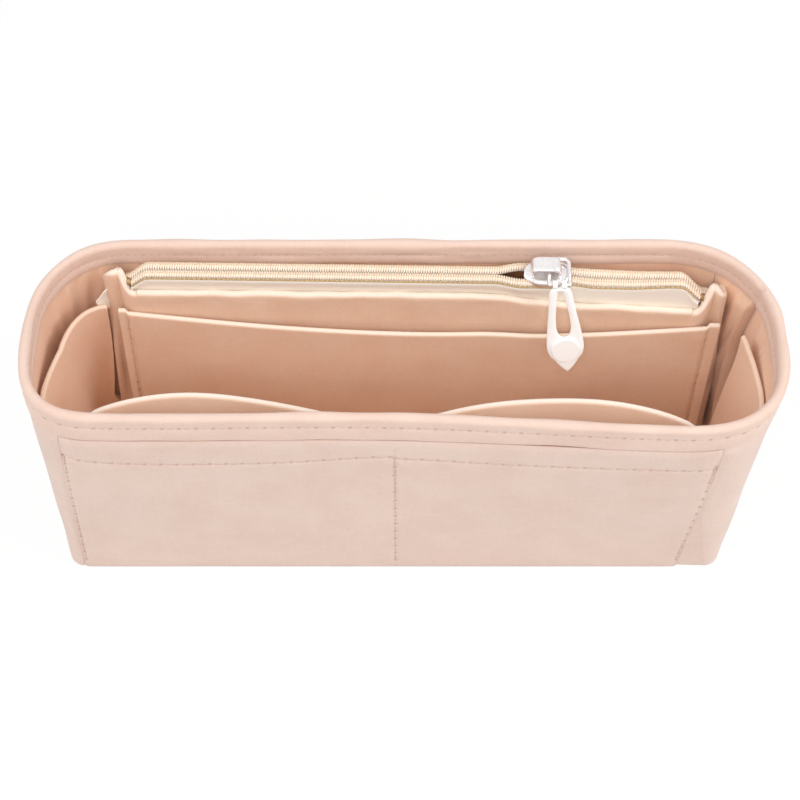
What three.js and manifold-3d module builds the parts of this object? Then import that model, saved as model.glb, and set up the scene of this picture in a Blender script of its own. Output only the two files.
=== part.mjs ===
// Handbag divider: a felt insert that stands in a handbag and sorts what is in it.
// A flat-bottomed felt shell flares to an oval rim. It has a slip pocket outside, pockets inside
// along the front and the ends, and a zipped pouch along the back.
//
// Millimetres. +X runs along the length, +Y to the back, +Z up. The origin is on the underside,
// at the seam in the middle of the front.

import * as THREE from 'three';
import Module from 'manifold-3d';
import { mergeVertices } from 'three/addons/utils/BufferGeometryUtils.js';

const wasm = await Module();
wasm.setup();

// Felt, board and the room between layers
const wallFelt = 1.4;
const bindingFelt = 0.7;
const pocketFelt = 1.1;
const liningFelt = 1.2;
const boardThickness = 1.6;
const tapeThickness = 0.5;
const seat = 0.3;
const floorClearance = 0.5;

// Shell, over everything, from the middle seam
const shellHeight = 97.3;
const rimReachLeft = 117.3;
const rimReachRight = 123;
const rimReachBack = 35;
const rimReachFrontLeft = 35.4;
const rimReachFrontRight = 40;
const rimSeamPull = 2.4;
const baseReachLeft = 114.8;
const baseReachRight = 114.2;
const baseReachBack = 34.6;
const baseReachFront = 35;
const baseFrontCorner = 6;
const baseBackCorner = 9;

// How far each corner of the rim rounds along the length, and how full it is
const rimCorner = { frontLeft: 25.3, frontRight: 33, backRight: 35, backLeft: 31 };
const rimFullness = { frontLeft: 0.07, frontRight: 0.07, backRight: 0.015, backLeft: 0.04 };
const rimWidestAt = -4;
const rimSideFlat = 6;

// Upright seams, from the ends of the shell
const frontSeamLeft = { base: 5.8, rim: 13.8 };
const frontSeamRight = { base: 15.7, rim: 21 };
const backSeamLeft = 16.8;
const backSeamRight = 8.2;

// Rim band, and the pockets' edges below it
const bindingDepthOutside = 12.3;
const bindingDepthInside = 10.3;
const hemBelowBand = 0.8;
const innerPocketBelowBand = 4;
const innerPocketGape = { left: 15.2, right: 15.4 };
const sidePocketBelowBand = 9;
const sidePocketGape = { left: 7.6, right: 3.3 };
const leftPocketEnd = 5.38;
const rightPocketEnd = 3.18;

// Zip: the line of its teeth, which leans forward a little towards the right
const zipBelowRim = 6.15;
const zipLean = 0.01685;
const teethInner = 0.45;
const teethOuter = 2.9;
const teethHeight = 1.2;
const toothPitch = 3;
const toothDepth = 0.7;
const stopLength = 2.2;

// Pouch: how far its ends stay from the rim's ends, and its back from the back wall and the zip
const pouchFromLeft = 30.8;
const pouchFromRight = 23.5;
const pouchClearance = 0.7;
const pouchBackStand = 4.1;
// The front panel's face in front of the zip's line, and its edge below it, from left to right
const pouchFrontStand = [5.5, 4.8, 6.3, 6.9];
const pouchFrontDrop = [6.1, 6.3, 7.9, 10.7];
const pouchFrontBends = [31, 47];
// The folds of the gussets, out and back from the pouch's front corners, and where they meet the wall
const leftFoldNear = { out: 3.9, back: 5.8 };
const leftFoldFar = { out: 8.1, back: 5.4 };
const leftGussetWall = 10;
const rightFoldNear = { out: 4.4, back: 5 };
const rightFoldFar = { out: 8.1, back: 2.4 };
const rightGussetWall = { base: 5, rim: 9.8 };
const rightFoldBelowZip = 3;
const gussetBelowBand = 2;
const slipPocketBeyondPouch = { left: 5.8, right: 8 };
const slipPocketBelowZip = { left: 13.6, right: 15.6 };
const slipPocketSag = 5;
const slipPocketGape = 3;

// Slider and pull
const sliderAt = 48.8;
const sliderLength = 13.8;
const sliderWidth = 10.4;
const sliderPlate = 1;
const sliderNeck = 0.4;
const bridgeWidth = 5.6;
const bridgeTop = 7.4;
const bridgeCrown = 1.25;
const eyeRod = 0.65;
const pullHang = 72;
const pullLean = 8;
const pullThickness = 1.6;
const pullLength = 35.3;
const discRadius = 4.9;
const discThickness = 0.9;
const discSeat = 0.2;

// What follows from these
const bindingStand = bindingFelt + seat;
const pocketStand = pocketFelt + seat;
const boardBottom = wallFelt + seat;
const liningBottom = boardBottom + boardThickness + seat;
const floorTop = liningBottom + liningFelt + seat;
const wallTop = shellHeight - bindingStand;
const bandBottomOutside = shellHeight - bindingDepthOutside;
const bandBottomInside = shellHeight - bindingDepthInside;
const innerPocketTop = bandBottomInside - innerPocketBelowBand;
const sidePocketTop = bandBottomInside - sidePocketBelowBand;
const zipHeight = shellHeight - zipBelowRim;
const pouchLeft = pouchFromLeft - rimReachLeft;
const pouchRight = rimReachRight - pouchFromRight;
const pouchBackTop = bandBottomInside - pouchClearance;

function mix(a, b, t) {
  return a + (b - a) * t;
}

function clamp01(t) {
  return Math.min(1, Math.max(0, t));
}

// The outer face of the walls at one height: four rounded corners and the sides between them.
// Round a corner, turn runs from 0 at its front or back side to 1 at its end side.
function cornerPoint(which, height, turn) {
  const w = height / shellHeight;
  const left = which.endsWith('Left');
  const front = which.startsWith('front');
  const baseRadius = front ? baseFrontCorner : baseBackCorner;
  const rimReachX = (left ? rimReachLeft : rimReachRight) - bindingStand;
  const reachX = mix(left ? baseReachLeft : baseReachRight, rimReachX, w);
  const rimFrontY = (left ? rimReachFrontLeft : rimReachFrontRight) - bindingStand;
  const rimY = front ? rimFrontY : rimReachBack - bindingStand;
  const radiusX = mix(baseRadius, rimCorner[which], w);
  const rimMiddleY = front ? -(rimWidestAt - rimSideFlat / 2) : rimWidestAt + rimSideFlat / 2;
  const baseReachY = front ? baseReachFront - pocketStand : baseReachBack - bindingStand;
  const baseMiddleY = baseReachY - baseRadius;
  const reachY = mix(baseReachY, rimY, w);
  const middleY = mix(baseMiddleY, rimMiddleY, w);
  const radiusY = reachY - middleY;
  const bulge = 1 + w * rimFullness[which] * Math.sin(Math.PI * turn) ** 2;
  const angle = turn * Math.PI / 2;
  const x = reachX - radiusX + radiusX * Math.sin(angle) * bulge;
  const y = middleY + radiusY * Math.cos(angle) * bulge;
  return new THREE.Vector2(left ? -x : x, front ? -y : y);
}

// The front is drawn back a little at the middle seam.
function frontPoint(height, t) {
  const a = cornerPoint('frontLeft', height, 0);
  const b = cornerPoint('frontRight', height, 0);
  const x = mix(a.x, b.x, t);
  const away = clamp01(Math.abs(x) / (x < 0 ? -a.x : b.x));
  const pull = rimSeamPull * (height / shellHeight) * Math.cos(away * Math.PI / 2) ** 2;
  return new THREE.Vector2(x, mix(a.y, b.y, t) + pull);
}

// Once round the shell is 0 to 8: front, front right corner, right side, back right corner, back,
// back left corner, left side, front left corner.
const onceRound = 8;

function shellPoint(around, height) {
  const u = ((around % onceRound) + onceRound) % onceRound;
  const side = Math.floor(u);
  const t = u - side;
  const between = (a, b) => a.lerp(b, t);
  if (side === 0) {
    return frontPoint(height, t);
  }
  if (side === 1) {
    return cornerPoint('frontRight', height, t);
  }
  if (side === 2) {
    return between(cornerPoint('frontRight', height, 1), cornerPoint('backRight', height, 1));
  }
  if (side === 3) {
    return cornerPoint('backRight', height, 1 - t);
  }
  if (side === 4) {
    return between(cornerPoint('backRight', height, 0), cornerPoint('backLeft', height, 0));
  }
  if (side === 5) {
    return cornerPoint('backLeft', height, t);
  }
  if (side === 6) {
    return between(cornerPoint('backLeft', height, 1), cornerPoint('frontLeft', height, 1));
  }
  return cornerPoint('frontLeft', height, 1 - t);
}

// A point that lies inward of the walls' outer face by depth.
function inward(around, height, depth) {
  const step = 0.02;
  const p = shellPoint(around, height);
  const along = shellPoint(around + step, height).sub(shellPoint(around - step, height)).normalize();
  return new THREE.Vector3(p.x - along.y * depth, p.y + along.x * depth, height);
}

// Where the front (sign 1) or the back (sign -1) has a given x.
function aroundAtX(x, height, sign) {
  let low = sign > 0 ? -1 : 3;
  let high = sign > 0 ? 2 : 6;
  for (let i = 0; i < 40; i++) {
    const middle = (low + high) / 2;
    if ((shellPoint(middle, height).x - x) * sign < 0) {
      low = middle;
    } else {
      high = middle;
    }
  }
  return (low + high) / 2;
}

function seamLeft(height) {
  const w = height / shellHeight;
  return mix(frontSeamLeft.base - baseReachLeft, frontSeamLeft.rim - rimReachLeft, w);
}

function seamRight(height) {
  const w = height / shellHeight;
  return mix(baseReachRight - frontSeamRight.base, rimReachRight - frontSeamRight.rim, w);
}

const backSeamLeftX = backSeamLeft - baseReachLeft;
const backSeamRightX = baseReachRight - backSeamRight;

// A closed body from its points and faces, turned so that the faces point out.
function body(points, faces) {
  let volume = 0;
  for (const [a, b, c] of faces) {
    volume += points[a].dot(points[b].clone().cross(points[c]));
  }
  const index = volume > 0 ? faces.flat() : faces.map(([a, b, c]) => [a, c, b]).flat();
  const geometry = new THREE.BufferGeometry();
  const places = points.flatMap((p) => [p.x, p.y, p.z]);
  geometry.setAttribute('position', new THREE.Float32BufferAttribute(places, 3));
  geometry.setIndex(index);
  return geometry;
}

function quad(faces, a, b, c, d) {
  faces.push([a, b, c], [a, c, d]);
}

// A sheet of some thickness, from the point grids of its two faces: columns of points, bottom to top.
function sheet(face, back) {
  const columns = face.length;
  const rows = face[0].length;
  const points = [...face.flat(), ...back.flat()];
  const other = columns * rows;
  const at = (i, j) => i * rows + j;
  const faces = [];
  for (let i = 0; i < columns - 1; i++) {
    for (let j = 0; j < rows - 1; j++) {
      quad(faces, at(i, j), at(i + 1, j), at(i + 1, j + 1), at(i, j + 1));
      quad(faces, other + at(i, j), other + at(i, j + 1), other + at(i + 1, j + 1), other + at(i + 1, j));
    }
    quad(faces, at(i, 0), other + at(i, 0), other + at(i + 1, 0), at(i + 1, 0));
    quad(faces, at(i, rows - 1), at(i + 1, rows - 1), other + at(i + 1, rows - 1), other + at(i, rows - 1));
  }
  for (let j = 0; j < rows - 1; j++) {
    const last = columns - 1;
    quad(faces, at(0, j), at(0, j + 1), other + at(0, j + 1), other + at(0, j));
    quad(faces, at(last, j), other + at(last, j), other + at(last, j + 1), at(last, j + 1));
  }
  return body(points, faces);
}

// A closed band: the same closed outline repeated round a loop.
function band(outlines) {
  const n = outlines[0].length;
  const faces = [];
  outlines.forEach((outline, i) => {
    const next = (i + 1) % outlines.length;
    outline.forEach((p, j) => {
      const k = (j + 1) % n;
      quad(faces, i * n + j, next * n + j, next * n + k, i * n + k);
    });
  });
  return body(outlines.flat(), faces);
}

function range(from, to, steps) {
  return Array.from({ length: steps + 1 }, (_, i) => mix(from, to, i / steps));
}

// A sheet that follows the shell. Its columns are at the shares across it that are given. The place
// of each at a height, and the depth of both faces there, are functions.
function shellSheet({ across, heights, place, outer, inner }) {
  const at = (t, height, depth) => inward(place(t, height), height, depth(t, height));
  const grid = (depth) => across.map((t) => heights.map((height) => at(t, height, depth)));
  return sheet(grid(outer), grid(inner));
}

// An upright strip of felt with folds, from the line that it follows in plan at each height, and
// the height of its top at each fold.
function foldedStrip(bottom, tops, line, thickness) {
  const half = thickness / 2;
  const highest = Math.max(...tops);
  const side = (sign) => {
    const levels = range(0, 1, 3).map((rise) => {
      const plan = line(mix(bottom, highest, rise));
      return plan.map((p, i) => {
        const height = mix(bottom, tops[i], rise);
        const before = plan[Math.max(0, i - 1)];
        const after = plan[Math.min(plan.length - 1, i + 1)];
        const a = p.clone().sub(before).normalize();
        const b = after.clone().sub(p).normalize();
        const along = a.clone().add(b).normalize();
        const stretch = i > 0 && i < plan.length - 1 ? 1 / Math.max(0.5, along.dot(b)) : 1;
        const depth = half * sign * stretch;
        return new THREE.Vector3(p.x - along.y * depth, p.y + along.x * depth, height);
      });
    });
    return levels[0].map((_, i) => levels.map((level) => level[i]));
  };
  return sheet(side(1), side(-1));
}

// A flat outline with straight sides, standing on the plane of its drawing.
function upright(shape, depth, curveSegments = 12) {
  return new THREE.ExtrudeGeometry(shape, { depth, bevelEnabled: false, curveSegments });
}

function toSolid(geometry) {
  const plain = geometry.clone();
  plain.deleteAttribute('normal');
  plain.deleteAttribute('uv');
  const merged = mergeVertices(plain, 1e-4);
  const mesh = new wasm.Mesh({
    numProp: 3,
    vertProperties: new Float32Array(merged.attributes.position.array),
    triVerts: new Uint32Array(merged.index.array),
  });
  return new wasm.Manifold(mesh);
}

function toGeometry(solid) {
  const mesh = solid.getMesh();
  const geometry = new THREE.BufferGeometry();
  geometry.setAttribute('position', new THREE.BufferAttribute(new Float32Array(mesh.vertProperties), 3));
  geometry.setIndex(new THREE.BufferAttribute(new Uint32Array(mesh.triVerts), 1));
  return geometry;
}

function union(geometries) {
  return geometries.map(toSolid).reduce((all, next) => all.add(next));
}

const felt = { outside: 0xf0d2bf, inside: 0xe3b496, edge: 0xf3d9c6 };
const finishes = {
  felt: () => new THREE.MeshStandardMaterial({ color: felt.outside, roughness: 0.95, metalness: 0 }),
  lining: () => new THREE.MeshStandardMaterial({ color: felt.inside, roughness: 0.95, metalness: 0 }),
  rim: () => new THREE.MeshStandardMaterial({ color: felt.edge, roughness: 0.95, metalness: 0 }),
  board: () => new THREE.MeshStandardMaterial({ color: 0xb59a7e, roughness: 0.8, metalness: 0 }),
  tape: () => new THREE.MeshStandardMaterial({ color: 0xf2dcc0, roughness: 0.85, metalness: 0 }),
  teeth: () => new THREE.MeshStandardMaterial({ color: 0xe6c894, roughness: 0.4, metalness: 0.3 }),
  metal: () => new THREE.MeshStandardMaterial({ color: 0xd9d9dc, roughness: 0.18, metalness: 1 }),
};

function piece(name, geometry, finish) {
  const mesh = new THREE.Mesh(geometry, finishes[finish]());
  mesh.name = name;
  return mesh;
}

// Bottom: felt, board and lining, all to one outline inside the walls
function floorLayer(bottom, thickness) {
  const outline = [];
  const middle = bottom + thickness / 2;
  for (let side = 0; side < onceRound; side++) {
    const steps = side % 2 ? 6 : 2;
    for (let i = 0; i < steps; i++) {
      const p = inward(side + i / steps, middle, wallFelt + floorClearance);
      outline.push(new THREE.Vector2(p.x, p.y));
    }
  }
  return upright(new THREE.Shape(outline), thickness).translate(0, 0, bottom);
}

// Walls: the shell's felt, cut at the two front seams and the two back seams
const wallHeights = range(0, wallTop, 4);
const seamGap = 0.15;

// Columns lie closer where a sheet reaches into the corners.
const sideColumns = [...range(0, 0.08, 5), ...range(0.16, 0.84, 8), ...range(0.92, 1, 5)];
const endColumns = range(0, 1, 32);

function wall(across, place) {
  return shellSheet({ across, heights: wallHeights, place, outer: () => 0, inner: () => wallFelt });
}

function placeFront(t, height) {
  return aroundAtX(mix(seamLeft(height) + seamGap, seamRight(height) - seamGap, t), height, 1);
}

function placeBack(t, height) {
  return aroundAtX(mix(backSeamRightX - seamGap, backSeamLeftX + seamGap, t), height, -1);
}

function placeLeftEnd(t, height) {
  const back = aroundAtX(backSeamLeftX - seamGap, height, -1);
  const front = aroundAtX(seamLeft(height) - seamGap, height, 1) + onceRound;
  return mix(back, front, t);
}

function placeRightEnd(t, height) {
  const front = aroundAtX(seamRight(height) + seamGap, height, 1);
  const back = aroundAtX(backSeamRightX + seamGap, height, -1);
  return mix(front, back, t);
}

// Rim band: felt folded over the top of the walls, all the way round
function rimBinding() {
  const inside = wallFelt + seat;
  const round = bindingFelt;
  const outline = [
    [-seat, bandBottomOutside], [-bindingStand, bandBottomOutside], [-bindingStand, shellHeight - round],
    [-bindingStand + round / 2, shellHeight], [inside + bindingFelt - round / 2, shellHeight],
    [inside + bindingFelt, shellHeight - round],
    [inside + bindingFelt, bandBottomInside], [inside, bandBottomInside],
    [inside, wallTop + seat], [-seat, wallTop + seat],
  ];
  const stations = [];
  for (let side = 0; side < onceRound; side++) {
    const steps = [16, 9, 2, 9, 6, 9, 2, 9][side];
    for (let i = 0; i < steps; i++) {
      stations.push(side + i / steps);
    }
  }
  return band(stations.map((u) => outline.map(([depth, height]) => inward(u, height, depth))));
}

// Slip pocket on the outside of the front, from the base to just under the rim band
function outerPocket() {
  return shellSheet({
    across: sideColumns,
    heights: range(0, bandBottomOutside - hemBelowBand, 4),
    place: placeFront,
    outer: () => -pocketStand,
    inner: () => -seat,
  });
}

// The strip inside the front, sewn at both outer seams and the middle seam: two gaping pockets
function innerPocketBulge(t, height) {
  const x = mix(seamLeft(height), seamRight(height), t);
  const left = x < 0;
  const s = clamp01(left ? x / seamLeft(height) : x / seamRight(height));
  const skew = left ? s ** 1.7 : s ** 1.25;
  const arc = Math.sqrt(Math.max(0, Math.sin(Math.PI * skew)));
  const rise = mix(0.12, 1, (height - floorTop) / (innerPocketTop - floorTop));
  return (left ? innerPocketGape.left : innerPocketGape.right) * arc * rise;
}

const innerPocketColumns = [...range(0, 0.06, 3), ...range(0.1, 0.9, 20), ...range(0.94, 1, 3)];

function frontInnerPocket() {
  const depth = (t, height) => wallFelt + seat + innerPocketBulge(t, height);
  const place = (t, height) => placeFront(mix(0.012, 0.988, t), height);
  return shellSheet({
    across: innerPocketColumns,
    heights: range(floorTop, innerPocketTop, 4),
    place,
    outer: depth,
    inner: (t, height) => depth(t, height) + pocketFelt,
  });
}

// Pockets along the ends: each lies on the wall at the front seam and stands off towards the pouch
function sidePocket(from, to, gape) {
  const depth = (t, height) => {
    const rise = mix(0.15, 1, (height - floorTop) / (sidePocketTop - floorTop));
    return wallFelt + seat + gape * t ** 1.8 * rise;
  };
  return shellSheet({
    across: range(0, 1, 22),
    heights: range(floorTop, sidePocketTop, 3),
    place: (t, height) => mix(from(height), to, t),
    outer: depth,
    inner: (t, height) => depth(t, height) + pocketFelt,
  });
}

const pocketSeamGap = 1.5;

function leftSidePocket() {
  const from = (height) => aroundAtX(seamLeft(height) - pocketSeamGap, height, 1) + onceRound;
  return sidePocket(from, leftPocketEnd, sidePocketGape.left);
}

function rightSidePocket() {
  const from = (height) => aroundAtX(seamRight(height) + pocketSeamGap, height, 1);
  return sidePocket(from, rightPocketEnd, sidePocketGape.right);
}

// Pouch. The line of the zip sets the places of its panels.
const zipAngle = -Math.atan(zipLean);
const zipLeftY = baseReachBack - bindingStand - 2 * wallFelt - pouchClearance - pouchBackStand;

function zipLineY(x) {
  return zipLeftY - (x - pouchLeft) * zipLean;
}

// The front panel's outer face and its top edge. Beyond the pouch's ends they are those of the end.
const pouchCorners = [pouchLeft, ...pouchFrontBends, pouchRight].map((x, i) => ({
  x,
  y: zipLineY(x) - pouchFrontStand[i],
  top: zipHeight - pouchFrontDrop[i],
}));
const pouchFirst = pouchCorners[0];
const pouchLast = pouchCorners.at(-1);

function pouchFrontAt(x) {
  const within = Math.min(pouchLast.x, Math.max(pouchFirst.x, x));
  const next = Math.max(1, pouchCorners.findIndex((corner) => within <= corner.x));
  const [a, b] = [pouchCorners[next - 1], pouchCorners[next]];
  const t = (within - a.x) / (b.x - a.x);
  return { y: mix(a.y, b.y, t), top: mix(a.top, b.top, t) };
}

const pouchXs = [...range(pouchLeft, 20, 4), ...pouchFrontBends, ...range(60, pouchRight, 2)];

function uprightPanel(xs, face, top, thickness) {
  const grid = (offset) => xs.map((x) => [
    new THREE.Vector3(x, face(x) + offset, floorTop),
    new THREE.Vector3(x, face(x) + offset, top(x)),
  ]);
  return sheet(grid(0), grid(thickness));
}

function pouchBackFace(x) {
  return zipLineY(x) + pouchBackStand;
}

function pouchFrontPanel() {
  return uprightPanel(pouchXs, (x) => pouchFrontAt(x).y, (x) => pouchFrontAt(x).top, wallFelt);
}

function pouchBackPanel() {
  return uprightPanel([pouchLeft, pouchRight], pouchBackFace, () => pouchBackTop, wallFelt);
}

// The gussets go back from the pouch's front corners, fold outward and end at the back wall.
const gussetClear = seat + wallFelt / 2;
const gussetWallTop = bandBottomInside - gussetBelowBand;
const gussetCorner = { out: gussetClear, back: wallFelt / 2 };

function beside(corner, fold, sign) {
  return new THREE.Vector2(corner.x + sign * fold.out, corner.y + fold.back);
}

function leftGusset() {
  const line = (height) => {
    const around = aroundAtX(pouchLeft - leftGussetWall, height, -1);
    const wallEnd = inward(around, height, wallFelt + gussetClear);
    return [
      beside(pouchFirst, gussetCorner, -1),
      beside(pouchFirst, leftFoldNear, -1),
      beside(pouchFirst, leftFoldFar, -1),
      new THREE.Vector2(wallEnd.x, wallEnd.y),
    ];
  };
  return foldedStrip(floorTop, [pouchFirst.top, zipHeight, zipHeight, gussetWallTop], line, wallFelt);
}

function rightGusset() {
  const line = (height) => {
    const wallX = pouchRight + mix(rightGussetWall.base, rightGussetWall.rim, height / shellHeight);
    const wallEnd = inward(aroundAtX(wallX, height, -1), height, wallFelt + gussetClear);
    return [
      beside(pouchLast, gussetCorner, 1),
      beside(pouchLast, rightFoldNear, 1),
      beside(pouchLast, rightFoldFar, 1),
      new THREE.Vector2(wallEnd.x, wallEnd.y),
    ];
  };
  const foldTop = zipHeight - rightFoldBelowZip;
  return foldedStrip(floorTop, [pouchLast.top, foldTop, gussetWallTop, gussetWallTop], line, wallFelt);
}

function pouchBottom() {
  const xs = pouchXs.map((x) => Math.min(pouchRight - 1, Math.max(pouchLeft + 1, x)));
  const front = xs.map((x) => [floorTop, floorTop + wallFelt]
    .map((z) => new THREE.Vector3(x, pouchFrontAt(x).y + wallFelt + seat, z)));
  const back = xs.map((x) => [floorTop, floorTop + wallFelt]
    .map((z) => new THREE.Vector3(x, pouchBackFace(x) - seat, z)));
  return sheet(front, back);
}

// Slip pocket on the pouch: its mouth sags and gapes at the middle
function pouchSlipPocket() {
  const arc = (t) => Math.sin(Math.PI * t);
  const left = pouchLeft - slipPocketBeyondPouch.left;
  const right = pouchRight + slipPocketBeyondPouch.right;
  const xs = range(left, right, 20);
  const heights = range(0, 1, 3);
  const grid = (offset) => xs.map((x, i) => heights.map((h) => {
    const t = i / (xs.length - 1);
    const ends = mix(slipPocketBelowZip.left, slipPocketBelowZip.right, t);
    const top = zipHeight - ends - slipPocketSag * arc(t);
    const gape = slipPocketGape * arc(t) * h;
    return new THREE.Vector3(x, pouchFrontAt(x).y - seat - gape - offset, mix(floorTop, top, h));
  }));
  return sheet(grid(0), grid(pocketFelt));
}

// Zip tapes: flat beside the teeth, then down to where each is sewn inside its panel
const tapeInner = 0.9;
const tapeFlat = 3.3;
const tapeSewn = 5;
const tapeEndGap = 0.6;
const tapeXs = pouchXs.map((x) => Math.min(pouchRight - tapeEndGap, Math.max(pouchLeft + tapeEndGap, x)));

function zipTape(sign, sewnAt) {
  const half = tapeThickness / 2;
  const grid = (offset) => tapeXs.map((x) => {
    const { y, top } = sewnAt(x);
    const line = zipLineY(x);
    return [
      new THREE.Vector3(x, y + sign * offset, top - tapeSewn),
      new THREE.Vector3(x, y + sign * offset, top + tapeThickness),
      new THREE.Vector3(x, line + sign * (tapeFlat + offset), zipHeight + offset),
      new THREE.Vector3(x, line + sign * tapeInner, zipHeight + offset),
    ];
  });
  return sheet(grid(half), grid(-half));
}

function tapeAtFront(x) {
  const { y, top } = pouchFrontAt(x);
  return { y: y + wallFelt + seat + tapeThickness / 2, top };
}

function tapeAtBack(x) {
  return { y: pouchBackFace(x) - seat - tapeThickness / 2, top: pouchBackTop };
}

// Teeth: a row on each tape, with a comb towards the other row
const teethBottom = zipHeight + tapeThickness / 2 + seat;
const teethLeft = pouchLeft + 5.4;
const teethRight = pouchRight - 4.6;

function teethRow(sign) {
  const count = Math.round((teethRight - teethLeft) / toothPitch);
  const pitch = (teethRight - teethLeft) / count;
  const outline = [teethLeft, teethRight].map((x) => new THREE.Vector2(x, sign * teethOuter));
  for (let i = count; i > 0; i--) {
    const x = teethLeft + i * pitch;
    outline.push(new THREE.Vector2(x, sign * (teethInner + toothDepth)));
    outline.push(new THREE.Vector2(x - pitch * 0.25, sign * teethInner));
    outline.push(new THREE.Vector2(x - pitch * 0.6, sign * teethInner));
    outline.push(new THREE.Vector2(x - pitch * 0.85, sign * (teethInner + toothDepth)));
  }
  outline.push(new THREE.Vector2(teethLeft, sign * (teethInner + toothDepth)));
  const skewed = outline.map((p) => new THREE.Vector2(p.x, p.y + zipLineY(p.x)));
  return upright(new THREE.Shape(skewed), teethHeight).translate(0, 0, teethBottom);
}

function zipStop(x) {
  const block = new THREE.BoxGeometry(stopLength, 2 * teethOuter, teethHeight);
  return block.translate(x, zipLineY(x), teethBottom + teethHeight / 2);
}

// End of the tape, out at the second fold of the left gusset
const tailBelowZip = { top: 7, bottom: 17 };
const tailOut = 2.3;
const tailForward = 2.2;

function tapeTail() {
  const clear = wallFelt / 2 + seat + tapeThickness / 2;
  const from = beside(pouchFirst, leftFoldFar, -1).add(new THREE.Vector2(0, -clear));
  const line = () => [from, from.clone().add(new THREE.Vector2(-tailOut, -tailForward))];
  const top = zipHeight - tailBelowZip.top;
  return foldedStrip(zipHeight - tailBelowZip.bottom, [top, top], line, tapeThickness);
}

// Slider, in its own frame: x along the zip with the nose at the left, y to the back, z up from
// the middle of the tapes. Two plates hold the tapes between them, joined by a thin neck in the
// slot between the rows of teeth.
const topPlateBottom = teethBottom - zipHeight + teethHeight + seat;
const topPlateTop = topPlateBottom + sliderPlate;
const lowPlateTop = -tapeThickness / 2 - seat;
const lowPlateBottom = lowPlateTop - sliderPlate;

function box(x0, x1, y0, y1, z0, z1) {
  const geometry = new THREE.BoxGeometry(x1 - x0, y1 - y0, z1 - z0);
  return geometry.translate((x0 + x1) / 2, (y0 + y1) / 2, (z0 + z1) / 2);
}

function sliderPlan(halfLength, halfWidth) {
  const outline = [];
  const corners = [[-1, 0.55], [-0.72, 0.86], [-0.3, 1], [0.5, 1], [0.86, 0.86], [1, 0.6]];
  for (const [x, y] of corners) {
    outline.push(new THREE.Vector2(x * halfLength, -y * halfWidth));
  }
  for (const [x, y] of corners.reverse()) {
    outline.push(new THREE.Vector2(x * halfLength, y * halfWidth));
  }
  return new THREE.Shape(outline);
}

const bridgeFootLeft = [-5, -3.1];
const bridgeFootRight = [3, 5];

function slider() {
  const half = sliderLength / 2;
  const side = sliderWidth / 2;
  const overlap = 0.2;
  const top = upright(sliderPlan(half, side), sliderPlate);
  const low = upright(sliderPlan(half - 0.6, tapeFlat - 0.7), sliderPlate);
  const rise = topPlateTop - overlap;
  const arch = new THREE.Shape();
  arch.moveTo(bridgeFootLeft[0], rise);
  arch.lineTo(bridgeFootLeft[0], bridgeTop - 1.4);
  arch.quadraticCurveTo(bridgeFootLeft[0], bridgeTop, bridgeFootLeft[0] + 1.6, bridgeTop);
  arch.lineTo(bridgeFootRight[1] - 1.6, bridgeTop);
  arch.quadraticCurveTo(bridgeFootRight[1], bridgeTop, bridgeFootRight[1], bridgeTop - 1.4);
  arch.lineTo(bridgeFootRight[1], rise);
  arch.lineTo(bridgeFootRight[0], rise);
  arch.lineTo(bridgeFootRight[0], bridgeTop - bridgeCrown);
  arch.lineTo(bridgeFootLeft[1], bridgeTop - bridgeCrown);
  arch.lineTo(bridgeFootLeft[1], rise);
  arch.closePath();
  const bridge = upright(arch, bridgeWidth, 4);
  bridge.rotateX(Math.PI / 2);
  bridge.translate(0, bridgeWidth / 2, 0);
  const footCut = (y0, y1) => box(-half, half, y0, y1, topPlateTop, bridgeTop - bridgeCrown - 0.8);
  const parts = [
    top.translate(0, 0, topPlateBottom),
    low.translate(0, 0, lowPlateBottom),
    box(-half + 2, 0, -sliderNeck / 2, sliderNeck / 2, lowPlateTop - overlap, topPlateBottom + overlap),
  ];
  for (const sign of [-1, 1]) {
    const inner = side - 0.6;
    const [near, far] = sign > 0 ? [inner, side] : [-side, -inner];
    const flange = box(-4.4, 4.6, near, far, 0.6, topPlateBottom + overlap);
    parts.push(flange);
  }
  const slimFeet = toSolid(bridge)
    .subtract(toSolid(footCut(-bridgeWidth, -1.4)))
    .subtract(toSolid(footCut(1.4, bridgeWidth)));
  return toGeometry(union(parts).add(slimFeet));
}

// A round rod through the points, with balls at the turns
function rod(points, radius) {
  const parts = [];
  points.forEach((p, i) => {
    const turn = i > 0 && i < points.length - 1;
    if (turn) {
      parts.push(new THREE.SphereGeometry(radius, 10, 8).rotateX(Math.PI / 2).translate(p.x, p.y, p.z));
    }
    if (i > 0) {
      const q = points[i - 1];
      const stick = new THREE.CylinderGeometry(radius * 0.995, radius * 0.995, p.distanceTo(q), 10);
      const turned = new THREE.Quaternion().setFromUnitVectors(
        new THREE.Vector3(0, 1, 0),
        p.clone().sub(q).normalize(),
      );
      const middle = p.clone().add(q).multiplyScalar(0.5);
      parts.push(stick.applyQuaternion(turned).translate(middle.x, middle.y, middle.z));
    }
  });
  return union(parts);
}

// The wire eye passes under the bridge, round its right foot, and ends in two pins that the
// pendant turns on.
const hingeY = -6.4;
const hingeZ = 4.1;
const eyeLeft = 0.9;
const eyeRight = 7.4;
const pinLength = 1.5;
const eyeBack = 3.7;
const eyeUnderBridge = (topPlateTop + bridgeTop - bridgeCrown) / 2;

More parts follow.
